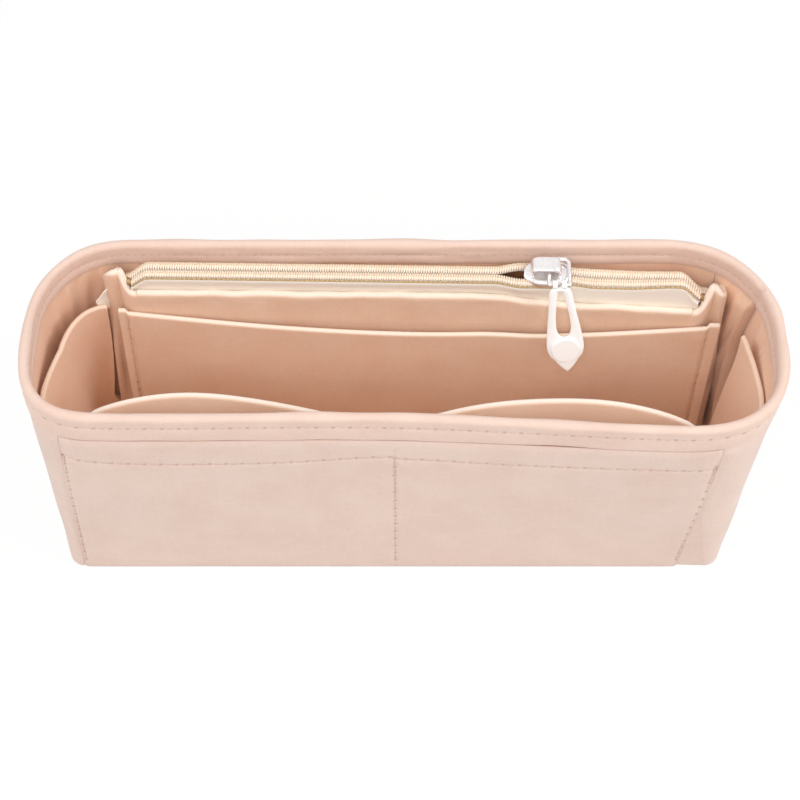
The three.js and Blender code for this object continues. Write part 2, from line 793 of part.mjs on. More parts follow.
function pullEye() {
  const at = (x, y, z) => new THREE.Vector3(x, y, z);
  const wire = [
    at(eyeLeft + eyeRod + pinLength, hingeY, hingeZ),
    at(eyeLeft, hingeY, hingeZ),
    at(eyeLeft, -bridgeWidth / 2, eyeUnderBridge),
    at(eyeLeft, eyeBack - 0.6, eyeUnderBridge),
    at(eyeLeft + 0.7, eyeBack, eyeUnderBridge),
    at(eyeRight - 1.2, eyeBack, eyeUnderBridge),
    at(eyeRight, eyeBack - 1.4, eyeUnderBridge),
    at(eyeRight, -bridgeWidth / 2, eyeUnderBridge),
    at(eyeRight, hingeY, hingeZ),
    at(eyeRight - eyeRod - pinLength, hingeY, hingeZ),
  ];
  return toGeometry(rod(wire, eyeRod));
}

// Pendant, lying flat in its own frame: the hinge at the origin, its length along -y
const bossRadius = eyeRod + seat + 0.4;
const pullMiddle = (eyeLeft + eyeRight) / 2;
const pullOutline = [
  [3.3, 3.85], [9, 4.4], [16, 5.4], [22, 6.05], [25.4, 6.1], [28.4, 5], [30.6, 3.9], [33, 2.2],
];
const pullOpening = [[3.6, 0.75], [8, 1.6], [13, 2.25], [17.5, 2.3], [20.4, 1.5]];

function mirrored(halfOutline, tip) {
  const right = halfOutline.map(([along, across]) => new THREE.Vector2(across, -along));
  const left = halfOutline.map(([along, across]) => new THREE.Vector2(-across, -along)).reverse();
  return tip ? [...right, tip, ...left] : [...right, ...left];
}

function pendant() {
  const shape = new THREE.Shape(mirrored(pullOutline, new THREE.Vector2(0, -pullLength)));
  shape.holes.push(new THREE.Path(mirrored(pullOpening).reverse()));
  const plate = upright(shape, pullThickness);
  plate.translate(0, 0, -pullThickness / 2);
  plate.rotateZ(THREE.MathUtils.degToRad(pullLean));
  plate.translate(pullMiddle, 0, 0);
  const slotTop = 1.35;
  const innerLeft = [eyeLeft + eyeRod + 0.35, pullMiddle - 0.75];
  const innerRight = [pullMiddle + 0.75, eyeRight - eyeRod - 0.35];
  let solid = toSolid(plate);
  for (const [x0, x1] of [innerLeft, innerRight]) {
    const boss = new THREE.CylinderGeometry(bossRadius, bossRadius, x1 - x0, 12).rotateZ(Math.PI / 2);
    boss.translate((x0 + x1) / 2, 0, 0);
    const neck = box(x0, x1, -4.6, 0, -pullThickness / 2, pullThickness / 2);
    solid = solid.add(toSolid(boss)).add(toSolid(neck));
  }
  for (const [x0, x1] of [[eyeLeft - 0.6, innerLeft[1]], [innerRight[0], eyeRight + 0.9]]) {
    solid = solid.add(toSolid(box(x0, x1, -4.6, -slotTop, -pullThickness / 2, pullThickness / 2)));
  }
  const bore = new THREE.CylinderGeometry(eyeRod + seat, eyeRod + seat, 4 * eyeRight, 12);
  solid = solid.subtract(toSolid(bore.rotateZ(Math.PI / 2).translate(pullMiddle, 0, 0)));
  return toGeometry(solid);
}

function disc() {
  const plate = new THREE.CylinderGeometry(discRadius - 0.35, discRadius, discThickness, 32);
  plate.rotateX(Math.PI / 2);
  plate.translate(0, -25.5, pullThickness / 2 + discSeat + discThickness / 2);
  plate.rotateZ(THREE.MathUtils.degToRad(pullLean));
  return plate.translate(pullMiddle, 0, 0);
}

const divider = new THREE.Group();
divider.add(
  piece('base_panel', floorLayer(0, wallFelt), 'felt'),
  piece('base_board', floorLayer(boardBottom, boardThickness), 'board'),
  piece('base_lining', floorLayer(liningBottom, liningFelt), 'lining'),
  piece('front_wall', wall(sideColumns, placeFront), 'felt'),
  piece('back_wall', wall(sideColumns, placeBack), 'felt'),
  piece('left_end_wall', wall(endColumns, placeLeftEnd), 'felt'),
  piece('right_end_wall', wall(endColumns, placeRightEnd), 'felt'),
  piece('rim_binding', rimBinding(), 'rim'),
  piece('outer_pocket', outerPocket(), 'felt'),
  piece('front_inner_pocket', frontInnerPocket(), 'lining'),
  piece('left_side_pocket', leftSidePocket(), 'lining'),
  piece('right_side_pocket', rightSidePocket(), 'lining'),
  piece('pouch_front_panel', pouchFrontPanel(), 'lining'),
  piece('pouch_back_panel', pouchBackPanel(), 'lining'),
  piece('pouch_left_gusset', leftGusset(), 'lining'),
  piece('pouch_right_gusset', rightGusset(), 'lining'),
  piece('pouch_bottom', pouchBottom(), 'lining'),
  piece('pouch_slip_pocket', pouchSlipPocket(), 'lining'),
  piece('zip_tape_front', zipTape(-1, tapeAtFront), 'tape'),
  piece('zip_tape_rear', zipTape(1, tapeAtBack), 'tape'),
  piece('zip_teeth_front', teethRow(-1), 'teeth'),
  piece('zip_teeth_rear', teethRow(1), 'teeth'),
  piece('zip_stop_left', zipStop(teethLeft - stopLength / 2 - seat), 'metal'),
  piece('zip_stop_right', zipStop(teethRight + stopLength / 2 + seat), 'metal'),
  piece('zip_tape_tail', tapeTail(), 'tape'),
);

const sliderGroup = new THREE.Group();
sliderGroup.position.set(sliderAt, zipLineY(sliderAt), zipHeight);
sliderGroup.rotation.z = zipAngle;
sliderGroup.add(piece('zip_slider', slider(), 'metal'), piece('pull_eye', pullEye(), 'metal'));

const pullGroup = new THREE.Group();
pullGroup.position.set(0, hingeY, hingeZ);
pullGroup.rotation.x = THREE.MathUtils.degToRad(pullHang);
pullGroup.add(piece('pull_frame', pendant(), 'metal'), piece('pull_disc', disc(), 'metal'));

sliderGroup.add(pullGroup);
divider.add(sliderGroup);

export default divider;
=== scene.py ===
import math
from collections import namedtuple

import bpy
import numpy as np
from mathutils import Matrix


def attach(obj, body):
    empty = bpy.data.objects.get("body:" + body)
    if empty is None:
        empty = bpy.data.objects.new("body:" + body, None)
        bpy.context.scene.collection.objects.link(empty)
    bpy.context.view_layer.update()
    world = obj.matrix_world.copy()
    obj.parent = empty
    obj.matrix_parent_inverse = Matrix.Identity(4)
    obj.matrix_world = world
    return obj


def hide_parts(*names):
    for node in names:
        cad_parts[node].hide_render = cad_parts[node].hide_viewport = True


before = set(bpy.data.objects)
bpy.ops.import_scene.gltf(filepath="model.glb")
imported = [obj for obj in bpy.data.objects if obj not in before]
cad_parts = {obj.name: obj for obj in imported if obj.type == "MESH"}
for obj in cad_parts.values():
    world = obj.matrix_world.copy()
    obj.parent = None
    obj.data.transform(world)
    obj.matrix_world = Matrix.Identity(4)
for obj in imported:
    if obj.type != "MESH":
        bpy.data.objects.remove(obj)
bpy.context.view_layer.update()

# Lengths are in millimetres until a mesh is made: x to the right, y to the back, z up.
MM = 0.001
PI = math.pi

# Shell: a flat bottom with small corners, flared to an oval rim
SHELL_HEIGHT = 97.3
BAND_STAND = 1.0
POCKET_STAND = 1.4
WALL_FELT = 1.4
SEAT = 0.3
WALL_TOP = SHELL_HEIGHT - 1.0
BAND_BOTTOM_OUTSIDE = 85.0
BAND_BOTTOM_INSIDE = 87.0
FLOOR_TOP = 5.1
RIM_SEAM_PULL = 2.4
ONCE_ROUND = 8
STITCH_PITCH = 5.2
EDGE_ROUND = 0.7  # grids stop this far inside the felt's rounded edges
BACK_SEAM_GAP = 0.18

Corner = namedtuple("Corner", "side depth base_x base_y base_radius rim_x rim_y rim_radius rim_middle fullness")
FRONT_LEFT = Corner(-1, -1, 114.8, 33.6, 6, 116.3, 34.4, 25.3, 7, 0.07)
FRONT_RIGHT = Corner(1, -1, 114.2, 33.6, 6, 122.0, 39.0, 33, 7, 0.07)
BACK_RIGHT = Corner(1, 1, 114.2, 33.6, 9, 122.0, 34.0, 35, -1, 0.015)
BACK_LEFT = Corner(-1, 1, 114.8, 33.6, 9, 116.3, 34.0, 31, -1, 0.04)

BACK_SEAM_LEFT = -98.0
BACK_SEAM_RIGHT = 106.0

# Zipped pouch along the back
POUCH_LEFT = -86.5
POUCH_RIGHT = 99.5
POUCH_BACK_TOP = 86.3
POUCH_BACK_STAND = 4.1
POUCH_BENDS = [-86.5, 31.0, 47.0, 99.5]
POUCH_FRONT_STANDS = [5.5, 4.8, 6.3, 6.9]
POUCH_FRONT_TOPS = [85.05, 84.85, 83.25, 80.45]
ZIP_HEIGHT = 91.15
ZIP_LEAN = 0.01685
COIL_LEFT = -86.0
COIL_RIGHT = 99.6
COIL_REAR_MORE = 2.4


def mix(a, b, share):
    return a + (b - a) * share


def smooth(low, high, value):
    """0 below low, 1 above high, and an even turn between them."""
    t = np.clip((np.asarray(value, float) - low) / (high - low), 0, 1)
    return t * t * (3 - 2 * t)


def hump(value, middle, width):
    return np.exp(-(((np.asarray(value, float) - middle) / width) ** 2))


def ripple(points, size, seed):
    """Slow unevenness from about -1 to 1, in waves of about that size, the same at each run."""
    draw = np.random.default_rng(seed)
    total = 0.0
    for _ in range(7):
        way = draw.normal(size=3)
        way *= 2 * PI / (np.linalg.norm(way) * size * draw.uniform(0.7, 1.6))
        total = total + np.sin(points @ way + draw.uniform(0, 2 * PI))
    return total / 3.2


def corner_point(corner, height, turn):
    rise = height / SHELL_HEIGHT
    reach_x = mix(corner.base_x, corner.rim_x, rise)
    reach_y = mix(corner.base_y, corner.rim_y, rise)
    radius_x = mix(corner.base_radius, corner.rim_radius, rise)
    middle_y = mix(corner.base_y - corner.base_radius, corner.rim_middle, rise)
    bulge = 1 + rise * corner.fullness * np.sin(PI * turn) ** 2
    x = reach_x - radius_x + radius_x * np.sin(turn * PI / 2) * bulge
    y = middle_y + (reach_y - middle_y) * np.cos(turn * PI / 2) * bulge
    return np.stack([corner.side * x, corner.depth * y], axis=-1)


def front_point(height, t):
    """The front is drawn back a little at the middle seam."""
    a = corner_point(FRONT_LEFT, height, 0 * t)
    b = corner_point(FRONT_RIGHT, height, 0 * t)
    x = mix(a[..., 0], b[..., 0], t)
    away = np.clip(np.abs(x) / np.where(x < 0, -a[..., 0], b[..., 0]), 0, 1)
    pull = RIM_SEAM_PULL * height / SHELL_HEIGHT * np.cos(away * PI / 2) ** 2
    return np.stack([x, mix(a[..., 1], b[..., 1], t) + pull], axis=-1)


def shell_point(around, height):
    """Outer face of the walls. Once round is 0 to 8, from the front's left end by the right."""
    around, height = np.broadcast_arrays(np.asarray(around, float), np.asarray(height, float))
    u = around % ONCE_ROUND
    side = np.floor(u).astype(int)
    t = u - side
    none = 0 * t

    def between(a, turn_a, b, turn_b):
        start = corner_point(a, height, none + turn_a)
        end = corner_point(b, height, none + turn_b)
        return mix(start, end, t[..., None])

    sides = [
        front_point(height, t),
        corner_point(FRONT_RIGHT, height, t),
        between(FRONT_RIGHT, 1, BACK_RIGHT, 1),
        corner_point(BACK_RIGHT, height, 1 - t),
        between(BACK_RIGHT, 0, BACK_LEFT, 0),
        corner_point(BACK_LEFT, height, t),
        between(BACK_LEFT, 1, FRONT_LEFT, 1),
        corner_point(FRONT_LEFT, height, 1 - t),
    ]
    return np.choose(side[..., None], sides)


def inward(around, height, depth):
    """Points that lie inward of the walls' outer face by depth."""
    around, height, depth = np.broadcast_arrays(
        np.asarray(around, float), np.asarray(height, float), np.asarray(depth, float)
    )
    step = 0.02
    p = shell_point(around, height)
    along = shell_point(around + step, height) - shell_point(around - step, height)
    along /= np.linalg.norm(along, axis=-1, keepdims=True)
    return np.stack([p[..., 0] - along[..., 1] * depth, p[..., 1] + along[..., 0] * depth, height], axis=-1)


def around_at_x(x, height, sign):
    """Where the front (sign 1) or the back (sign -1) has a given x."""
    x, height = np.broadcast_arrays(np.asarray(x, float), np.asarray(height, float))
    low = np.full(x.shape, -1.0 if sign > 0 else 3.0)
    high = np.full(x.shape, 2.0 if sign > 0 else 6.0)
    for _ in range(36):
        middle = (low + high) / 2
        short = (shell_point(middle, height)[..., 0] - x) * sign < 0
        low = np.where(short, middle, low)
        high = np.where(short, high, middle)
    return (low + high) / 2


def seam_left(height):
    return mix(-109.0, -103.5, height / SHELL_HEIGHT)


def seam_right(height):
    return mix(98.5, 102.0, height / SHELL_HEIGHT)


# Meshes

def make_piece(name, points, faces, material, body="shell", slot=None, marks=None):
    mesh = bpy.data.meshes.new(name)
    mesh.from_pydata([tuple(p) for p in points * MM], [], outward_faces(points, faces))
    mesh.validate()
    mesh.update()
    mesh.polygons.foreach_set("use_smooth", [True] * len(mesh.polygons))
    for label, values in (marks or {}).items():
        mesh.attributes.new(label, "FLOAT", "POINT").data.foreach_set("value", np.ravel(values))
    mesh.materials.append(material)
    piece = bpy.data.objects.new(name, mesh)
    bpy.context.scene.collection.objects.link(piece)
    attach(piece, body)
    return piece


def outward_faces(points, faces):
    """The faces turned so that the closed body's volume is positive, as its four-sided faces tell."""
    quads = np.array([f for f in faces if len(f) == 4])
    a, b, c, d = (points[quads[:, k]] - points.mean(axis=0) for k in range(4))
    volume = (a * np.cross(b, c)).sum() + (a * np.cross(c, d)).sum()
    return faces if volume > 0 else [f[::-1] for f in faces]


def ring_faces(rings, sides, closed=False, start=0):
    """Four-sided faces from each ring of points to the next, and from the last to the first if closed."""
    faces = []
    for ring in range(rings if closed else rings - 1):
        a, b = start + ring * sides, start + (ring + 1) % rings * sides
        faces += [(a + k, b + k, b + (k + 1) % sides, a + (k + 1) % sides) for k in range(sides)]
    return faces


def tube_faces(rings, sides, start=0):
    """Faces of a tube of rings, with a lid at each end."""
    last = start + (rings - 1) * sides
    sheath = [(a, d, c, b) for a, b, c, d in ring_faces(rings, sides, start=start)]
    return [*sheath, tuple(range(start, start + sides))[::-1], tuple(range(last, last + sides))]


def circle(centre, radius, side, out, sides):
    """A ring of points round a centre, in the plane of side and out."""
    turns = [2 * PI * k / sides for k in range(sides)]
    return [centre + radius * (side * math.cos(a) + out * math.sin(a)) for a in turns]


def points_at(x, y, z):
    return np.stack(np.broadcast_arrays(x, y, z), axis=-1)


def sheet_body(front, back, closed=False, tight=False, holes=None, creases=None, steps=4):
    """A closed sheet with rounded edges, from the point grids (column, row, xyz) of its two faces.
    Tight ends are nearly square, where another sheet meets them. holes is painted shade at needle holes
    and in creases on the front, creases the same painted shade on the back."""
    middle = (front + back) / 2
    half = (front - back) / 2
    reach = np.linalg.norm(half, axis=-1, keepdims=True)
    rows = front.shape[1]
    turns = [k * PI / steps for k in range(1, steps)]

    def over_edge(row, towards, sign):
        lean = middle[:, row] - middle[:, towards]
        lean *= reach[:, row] / np.linalg.norm(lean, axis=-1, keepdims=True)
        return [middle[:, row] + sign * half[:, row] * math.cos(a) + lean * math.sin(a) for a in turns]

    top = over_edge(-1, -2, 1)
    bottom = over_edge(0, 1, -1)
    ring = np.stack([*front.swapaxes(0, 1), *top, *back[:, ::-1].swapaxes(0, 1), *bottom], axis=1)
    spine = np.stack(
        [
            *middle.swapaxes(0, 1),
            *[middle[:, -1]] * len(top),
            *middle[:, ::-1].swapaxes(0, 1),
            *[middle[:, 0]] * len(bottom),
        ],
        axis=1,
    )
    edge = np.zeros(ring.shape[:2])
    edge[:, rows:rows + len(top)] = 1
    edge[:, 2 * rows + len(top):] = 1
    # Painted shade at needle holes and in creases, from holes and creases.
    hole = np.zeros(ring.shape[:2])
    if holes is not None:
        hole[:, :rows] = holes
    if creases is not None:
        hole[:, rows + len(top):2 * rows + len(top)] = creases[:, ::-1]
    if not closed:
        def end_rings(end, towards):
            out = spine[end] - spine[towards]
            size = np.linalg.norm(ring[end] - spine[end], axis=-1, keepdims=True)
            out *= size / np.linalg.norm(out, axis=-1, keepdims=True)
            turns = [(math.cos(a), math.sin(a)) for a in (PI / 6, PI / 3, 0.47 * PI)]
            if tight:
                turns = [(0.985, 0.09), (0.93, 0.18), (0.82, 0.22)]
            return [spine[end] + (ring[end] - spine[end]) * shrink + out * reach for shrink, reach in turns]

        first, last = end_rings(0, 1), end_rings(-1, -2)
        ring = np.stack([*first[::-1], *ring, *last])
        cap = np.full((3, edge.shape[1]), 0.0 if tight else 1.0)
        edge = np.vstack([cap, edge, cap])
        hole = np.pad(hole, ((3, 3), (0, 0)))
    columns, length = ring.shape[:2]
    faces = ring_faces(columns, length, closed)
    if not closed:
        turn_back = 2 * rows + len(top) - 1
        for base, flip in ((0, 1), ((columns - 1) * length, -1)):
            for j in range(rows - 1):
                lid = (base + j, base + j + 1, base + turn_back - j - 1, base + turn_back - j)
                faces.append(lid[::flip])
            over = [base + k for k in range(rows - 1, rows + len(top) + 1)]
            under = [base + turn_back + k for k in range(len(bottom) + 1)] + [base]
            faces += [tuple(over)[::flip], tuple(under)[::flip]]
    return ring.reshape(-1, 3), faces, {"cut_edge": edge, "painted_shade": hole}


def skin(middle, thickness):
    """The two faces of a sheet from its middle surface."""
    out = np.cross(np.gradient(middle, axis=0), np.gradient(middle, axis=1))
    out *= thickness / 2 / np.linalg.norm(out, axis=-1, keepdims=True)
    return middle + out, middle - out


def joined(bodies):
    """One mesh from several closed bodies."""
    points, faces, start = [], [], 0
    for body_points, body_faces in bodies:
        points.append(body_points)
        faces += [tuple(start + k for k in face) for face in outward_faces(body_points, body_faces)]
        start += len(body_points)
    return np.vstack(points), faces


def ring_body(outer, inner, out, half, squareness):
    """A closed ring between two matched loops, its section a rounded bar of that half thickness."""
    angles = np.arange(16) * 2 * PI / 16
    power = 2 / np.broadcast_to(np.asarray(squareness, float), (len(outer),))[:, None, None]
    across = (np.sign(np.cos(angles)) * np.abs(np.cos(angles)))[None, :, None]
    upward = (np.sign(np.sin(angles)) * np.abs(np.sin(angles)))[None, :, None]
    across = np.sign(across) * np.abs(across) ** power
    upward = np.sign(upward) * np.abs(upward) ** power
    middle, reach = (outer + inner) / 2, (outer - inner) / 2
    points = middle[:, None] + reach[:, None] * across + np.asarray(out, float) * half * upward
    return points.reshape(-1, 3), ring_faces(*points.shape[:2], closed=True)


def upright_faces(middle, thickness):
    """The two faces of an upright strip from its middle surface."""
    along = np.gradient(middle, axis=0)[..., :2]
    along /= np.linalg.norm(along, axis=-1, keepdims=True)
    out = np.stack([-along[..., 1], along[..., 0], 0 * along[..., 0]], axis=-1) * thickness / 2
    return middle + out, middle - out


def flat_size(front, back):
    """Width, length and area of a sheet laid flat, in metres, from its middle surface."""
    middle = (front + back) / 2 * MM
    across = np.linalg.norm(np.diff(middle, axis=0), axis=-1)
    upward = np.linalg.norm(np.diff(middle, axis=1), axis=-1)
    area = ((across[:, 1:] + across[:, :-1]) / 2 * (upward[1:] + upward[:-1]) / 2).sum()
    return (across.sum(axis=0).max(), upward.sum(axis=1).max()), area


LEAST_SHEET_SIDE = 0.0102  # metres; no sheet's flat size is taken narrower


def felt_sheet(name, front, back, material, slot, held, nodes, rests_on=(), closed=False, tight=False, holes=None,
               creases=None, back_material=None):
    points, faces, marks = sheet_body(front, back, closed, tight, holes, creases)
    piece = make_piece(name, points, faces, material, slot=slot, marks=marks)
    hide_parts(*nodes)
    if back_material:
        piece.data.materials.append(back_material)
        rows, once_over = front.shape[1], 2 * front.shape[1] + 6
        for face in piece.data.polygons:
            if rows + 1 <= face.index % once_over < 2 * rows + 2:
                face.material_index = 1
    size, area = flat_size(front, back)
    if closed:
        ends = np.linalg.norm((front + back)[0] - (front + back)[-1], axis=-1).max() / 2 * MM
        size = (size[0] + ends, size[1])
    size = [max(length, LEAST_SHEET_SIDE) for length in size]


def capsule_chain(pairs, outs, radius, rise, sink, sides=8):
    """Short threads, each from one needle hole to the next: points and faces of them all."""
    points, faces = [], []
    along_shares = np.array([0.0, 0.06, 0.18, 0.35, 0.5, 0.65, 0.82, 0.94, 1.0])
    swell = np.sqrt(np.clip(1 - (2 * along_shares - 1) ** 6, 0.02, 1))
    lift = mix(-sink, rise, np.sin(PI * along_shares) ** 0.7)
    for (a, b), out in zip(pairs, outs):
        along = (b - a) / np.linalg.norm(b - a)
        side = np.cross(along, out)
        start = len(points)
        for share, width, height in zip(along_shares, swell, lift):
            centre = mix(a, b, share) + out * height
            points += circle(centre, radius * width, side, out, sides)
        faces += tube_faces(len(along_shares), sides, start)
    return np.array(points), faces


def thread_row(name, needles, outs, material, slot="felt_outside", radius=0.3, rise=0.2, sink=0.25, gap=0.1):
    """A row of stitches through needle points that lie in the felt's seam."""
    pairs = [(mix(a, b, gap), mix(b, a, gap)) for a, b in zip(needles[:-1], needles[1:])]
    middles = [(a + b) / np.linalg.norm(a + b) for a, b in zip(outs[:-1], outs[1:])]
    points, faces = capsule_chain(pairs, middles, radius, rise, sink)
    return make_piece(name, points, faces, material, slot=slot)


# Places of grid lines: six to each stitch, closer at the needle holes
IN_STITCH = np.array([0, 0.07, 0.2, 0.5, 0.8, 0.93])


def stitch_lines(count):
    """Shares from 0 to 1 over a seam of that many stitches."""
    return np.append((np.arange(count)[:, None] + IN_STITCH).ravel(), count) / count


def seam_dip(across, along, groove=0.3, hole=0.42, width=0.95):
    """How deep a stitched seam pulls the felt in. along is counted in stitches."""
    to_hole = (along - np.round(along)) * STITCH_PITCH
    pucker = 0.09 * np.cos(2 * PI * along) * (hump(across, 1.9, 1.0) + hump(across, -1.9, 1.0))
    return groove * hump(across, 0, width) + hole * hump(across, 0, 0.5) * hump(to_hole, 0, 0.5) + pucker


def stitch_hole_shade(across, along):
    """Painted shade at needle holes: 1 at a hole, 0 between."""
    to_hole = (along - np.round(along)) * STITCH_PITCH
    return hump(across, 0, 0.45) * hump(to_hole, 0, 0.5)


# Materials

def rgb(red, green, blue):
    """A colour as it is read off a screen, as the renderer's own numbers."""
    def linear(value):
        value /= 255
        return value / 12.92 if value <= 0.04045 else ((value + 0.055) / 1.055) ** 2.4

    return (linear(red), linear(green), linear(blue), 1.0)


class Nodes:
    """A node tree that is built from left to right."""

    def __init__(self, tree):
        self.tree = tree

    def add(self, kind, **settings):
        node = self.tree.nodes.new(kind)
        for key, value in settings.items():
            if hasattr(node, key):
                setattr(node, key, value)
            else:
                self.put(node, key.replace("_", " ").title(), value)
        return node

    def put(self, node, socket, value):
        target = node.inputs[socket]
        if isinstance(value, bpy.types.NodeSocket):
            self.tree.links.new(value, target)
        else:
            target.default_value = value

    def math(self, operation, a, b=None, clamp=False):
        node = self.tree.nodes.new("ShaderNodeMath")
        node.operation = operation
        node.use_clamp = clamp
        self.put(node, 0, a)
        if b is not None:
            self.put(node, 1, b)
        return node.outputs[0]

    def times(self, a, b, clamp=False):
        return self.math("MULTIPLY", a, b, clamp)

    def plus(self, a, b, clamp=False):
        return self.math("ADD", a, b, clamp)

    def blend(self, share, a, b):
        node = self.tree.nodes.new("ShaderNodeMix")
        node.data_type = "RGBA"
        self.put(node, 0, share)
        self.put(node, 6, a)
        self.put(node, 7, b)
        return node.outputs[2]

    def noise(self, place, size, detail=2.0, rough=0.5, stretch=None, turn=0.0):
        """Cloudy noise with spots of that size, in millimetres."""
        if stretch:
            mapping = self.tree.nodes.new("ShaderNodeMapping")
            self.put(mapping, "Vector", place)
            self.put(mapping, "Rotation", (turn, turn * 0.7, turn * 1.3))
            self.put(mapping, "Scale", stretch)
            place = mapping.outputs[0]
        node = self.tree.nodes.new("ShaderNodeTexNoise")
        self.put(node, "Vector", place)
        self.put(node, "Scale", 1 / (size * MM))
        self.put(node, "Detail", detail)
        self.put(node, "Roughness", rough)
        return node.outputs["Fac"]

    def ramp(self, value, low, high):
        node = self.tree.nodes.new("ShaderNodeMapRange")
        self.put(node, "Value", value)
        self.put(node, "From Min", low)
        self.put(node, "From Max", high)
        return node.outputs[0]


def new_group(name, inputs):
    """A group with those inputs and their values, which puts out a colour, a roughness and a height."""
    group = bpy.data.node_groups.new(name, "ShaderNodeTree")
    number, colour = "NodeSocketFloat", "NodeSocketColor"
    for label, value in inputs.items():
        kind = number if isinstance(value, float) else colour
        group.interface.new_socket(label, in_out="INPUT", socket_type=kind).default_value = value
    for label, kind in (("Colour", colour), ("Roughness", number), ("Height", number)):
        group.interface.new_socket(label, in_out="OUTPUT", socket_type=kind)
    nodes = Nodes(group)
    return group, nodes, nodes.add("NodeGroupInput").outputs, nodes.add("NodeGroupOutput")


def felt_fibre_group():
    """Matted fibres: a mottled colour, cut edges in a colour of their own (paler on most felts: painted highlight),
    painted shade at needle holes and in creases, and the height of the nap.
    """
    group, n, given, out = new_group("Felt fibres", {
        "Colour": rgb(235, 210, 197),
        "Deep Colour": rgb(215, 185, 170),
        "Edge Colour": rgb(246, 222, 206),
        "Painted Shade Colour": rgb(142, 94, 70),
        "Mottling": 0.35,
        "Fibre Size": 1.0,
    })
    place = n.add("ShaderNodeTexCoord").outputs["Object"]
    scaled = n.add("ShaderNodeVectorMath", operation="SCALE")
    n.put(scaled, 0, place)
    n.put(scaled, 3, given["Fibre Size"])
    place = scaled.outputs[0]
    clouds = n.noise(place, 16, 3, 0.6)
    specks = n.noise(place, 0.9, 3, 0.65)
    strands = [
        n.noise(place, 1.5, 2, 0.6, (0.22, 1.6, 1.6), 0.5),
        n.noise(place, 1.5, 2, 0.6, (1.6, 0.22, 1.6), 1.1),
        n.noise(place, 1.5, 2, 0.6, (1.6, 1.6, 0.22), 2.0),
    ]
    strand = n.math("MAXIMUM", n.math("MAXIMUM", strands[0], strands[1]), strands[2])
    nap = n.plus(n.times(strand, 0.6), n.times(specks, 0.4))
    patches = n.times(n.ramp(clouds, 0.36, 0.66), 0.55)
    fine = n.times(n.ramp(nap, 0.7, 0.42), 0.75)
    share = n.times(n.plus(patches, fine), given["Mottling"], clamp=True)
    colour = n.blend(share, given["Colour"], given["Deep Colour"])
    # Cut edges take their own colour, speckled; where it is paler than the felt it is a painted highlight of edges
    # catching the light.
    cut = n.add("ShaderNodeAttribute", attribute_name="cut_edge").outputs["Fac"]
    pale = n.times(cut, n.ramp(specks, 0.0, 0.42), clamp=True)
    colour = n.blend(pale, colour, given["Edge Colour"])
    # Painted shade: needle holes and creases are darkened towards the shade colour.
    hole = n.add("ShaderNodeAttribute", attribute_name="painted_shade").outputs["Fac"]
    n.put(out, "Colour", n.blend(n.times(hole, 0.62, clamp=True), colour, given["Painted Shade Colour"]))
    n.put(out, "Roughness", n.plus(0.82, n.times(specks, 0.16)))
    n.put(out, "Height", n.plus(n.times(nap, 0.7), n.times(clouds, 0.3)))
    return group


def weave_group():
    """Plain weave of fine threads, for the zip's tapes."""
    group, n, given, out = new_group("Fine weave", {
        "Colour": rgb(244, 224, 198),
        "Gap Colour": rgb(205, 170, 120),
        "Thread Pitch": 0.45,
    })
    place = n.add("ShaderNodeSeparateXYZ")
    n.put(place, 0, n.add("ShaderNodeTexCoord").outputs["Object"])
    turn = n.math("DIVIDE", 2 * PI / MM, given["Thread Pitch"])
    warp = n.math("SINE", n.times(place.outputs["X"], turn))
    down = n.plus(place.outputs["Y"], place.outputs["Z"])
    weft = n.math("SINE", n.times(down, turn))
    weave = n.ramp(n.times(warp, weft), -1, 1)
    cloud = n.noise(n.add("ShaderNodeTexCoord").outputs["Object"], 6, 3)
    shade = n.times(n.ramp(weave, 0.55, 0.0), n.ramp(cloud, 0.2, 0.7), clamp=True)
    n.put(out, "Colour", n.blend(n.times(shade, 0.6), given["Colour"], given["Gap Colour"]))
    n.put(out, "Roughness", n.plus(0.62, n.times(weave, 0.2)))
    n.put(out, "Height", weave)
    return group


def wear_group():
    """Faint smears and hairline scratches for plated metal and smooth plastic."""
    group, n, given, out = new_group("Handling marks", {
        "Colour": rgb(245, 243, 240),
        "Dull Colour": rgb(222, 216, 210),
        "Smooth": 0.1,
        "Dull": 0.28,
    })
    place = n.add("ShaderNodeTexCoord").outputs["Object"]
    smears = n.ramp(n.noise(place, 3.2, 4, 0.6), 0.4, 0.72)
    hairs = n.ramp(n.noise(place, 0.5, 2, 0.5, (0.12, 2.4, 2.4), 0.9), 0.62, 0.75)
    marks = n.plus(n.times(smears, 0.5), n.times(hairs, 0.35), clamp=True)
    n.put(out, "Colour", n.blend(marks, given["Colour"], given["Dull Colour"]))
    spread = n.times(marks, n.math("SUBTRACT", given["Dull"], given["Smooth"]))
    n.put(out, "Roughness", n.plus(given["Smooth"], spread))
    n.put(out, "Height", n.math("SUBTRACT", n.noise(place, 0.9, 2), n.times(hairs, 0.6)))
    return group


FELT_FIBRES = felt_fibre_group()
FINE_WEAVE = weave_group()
HANDLING_MARKS = wear_group()


def material_from(name, group, values, bump, height, **constants):
    """A material whose colour, roughness and relief come from a group, with the shader's own constants."""
    material = bpy.data.materials.new(name)
    material.use_nodes = True
    n = Nodes(material.node_tree)
    shader = material.node_tree.nodes["Principled BSDF"]
    surface = n.add("ShaderNodeGroup", node_tree=group)
    for key, value in values.items():
        n.put(surface, key, value)
    relief = n.add("ShaderNodeBump")
    n.put(relief, "Strength", bump)
    n.put(relief, "Distance", height * MM)
    n.put(relief, "Height", surface.outputs["Height"])
    n.put(shader, "Base Color", surface.outputs["Colour"])
    n.put(shader, "Roughness", surface.outputs["Roughness"])
    n.put(shader, "Normal", relief.outputs["Normal"])
    for key, value in constants.items():
        shader.inputs[key.replace("_", " ")].default_value = value
    return material


FELT_BUMP = 0.35
FELT_NAP = 0.35


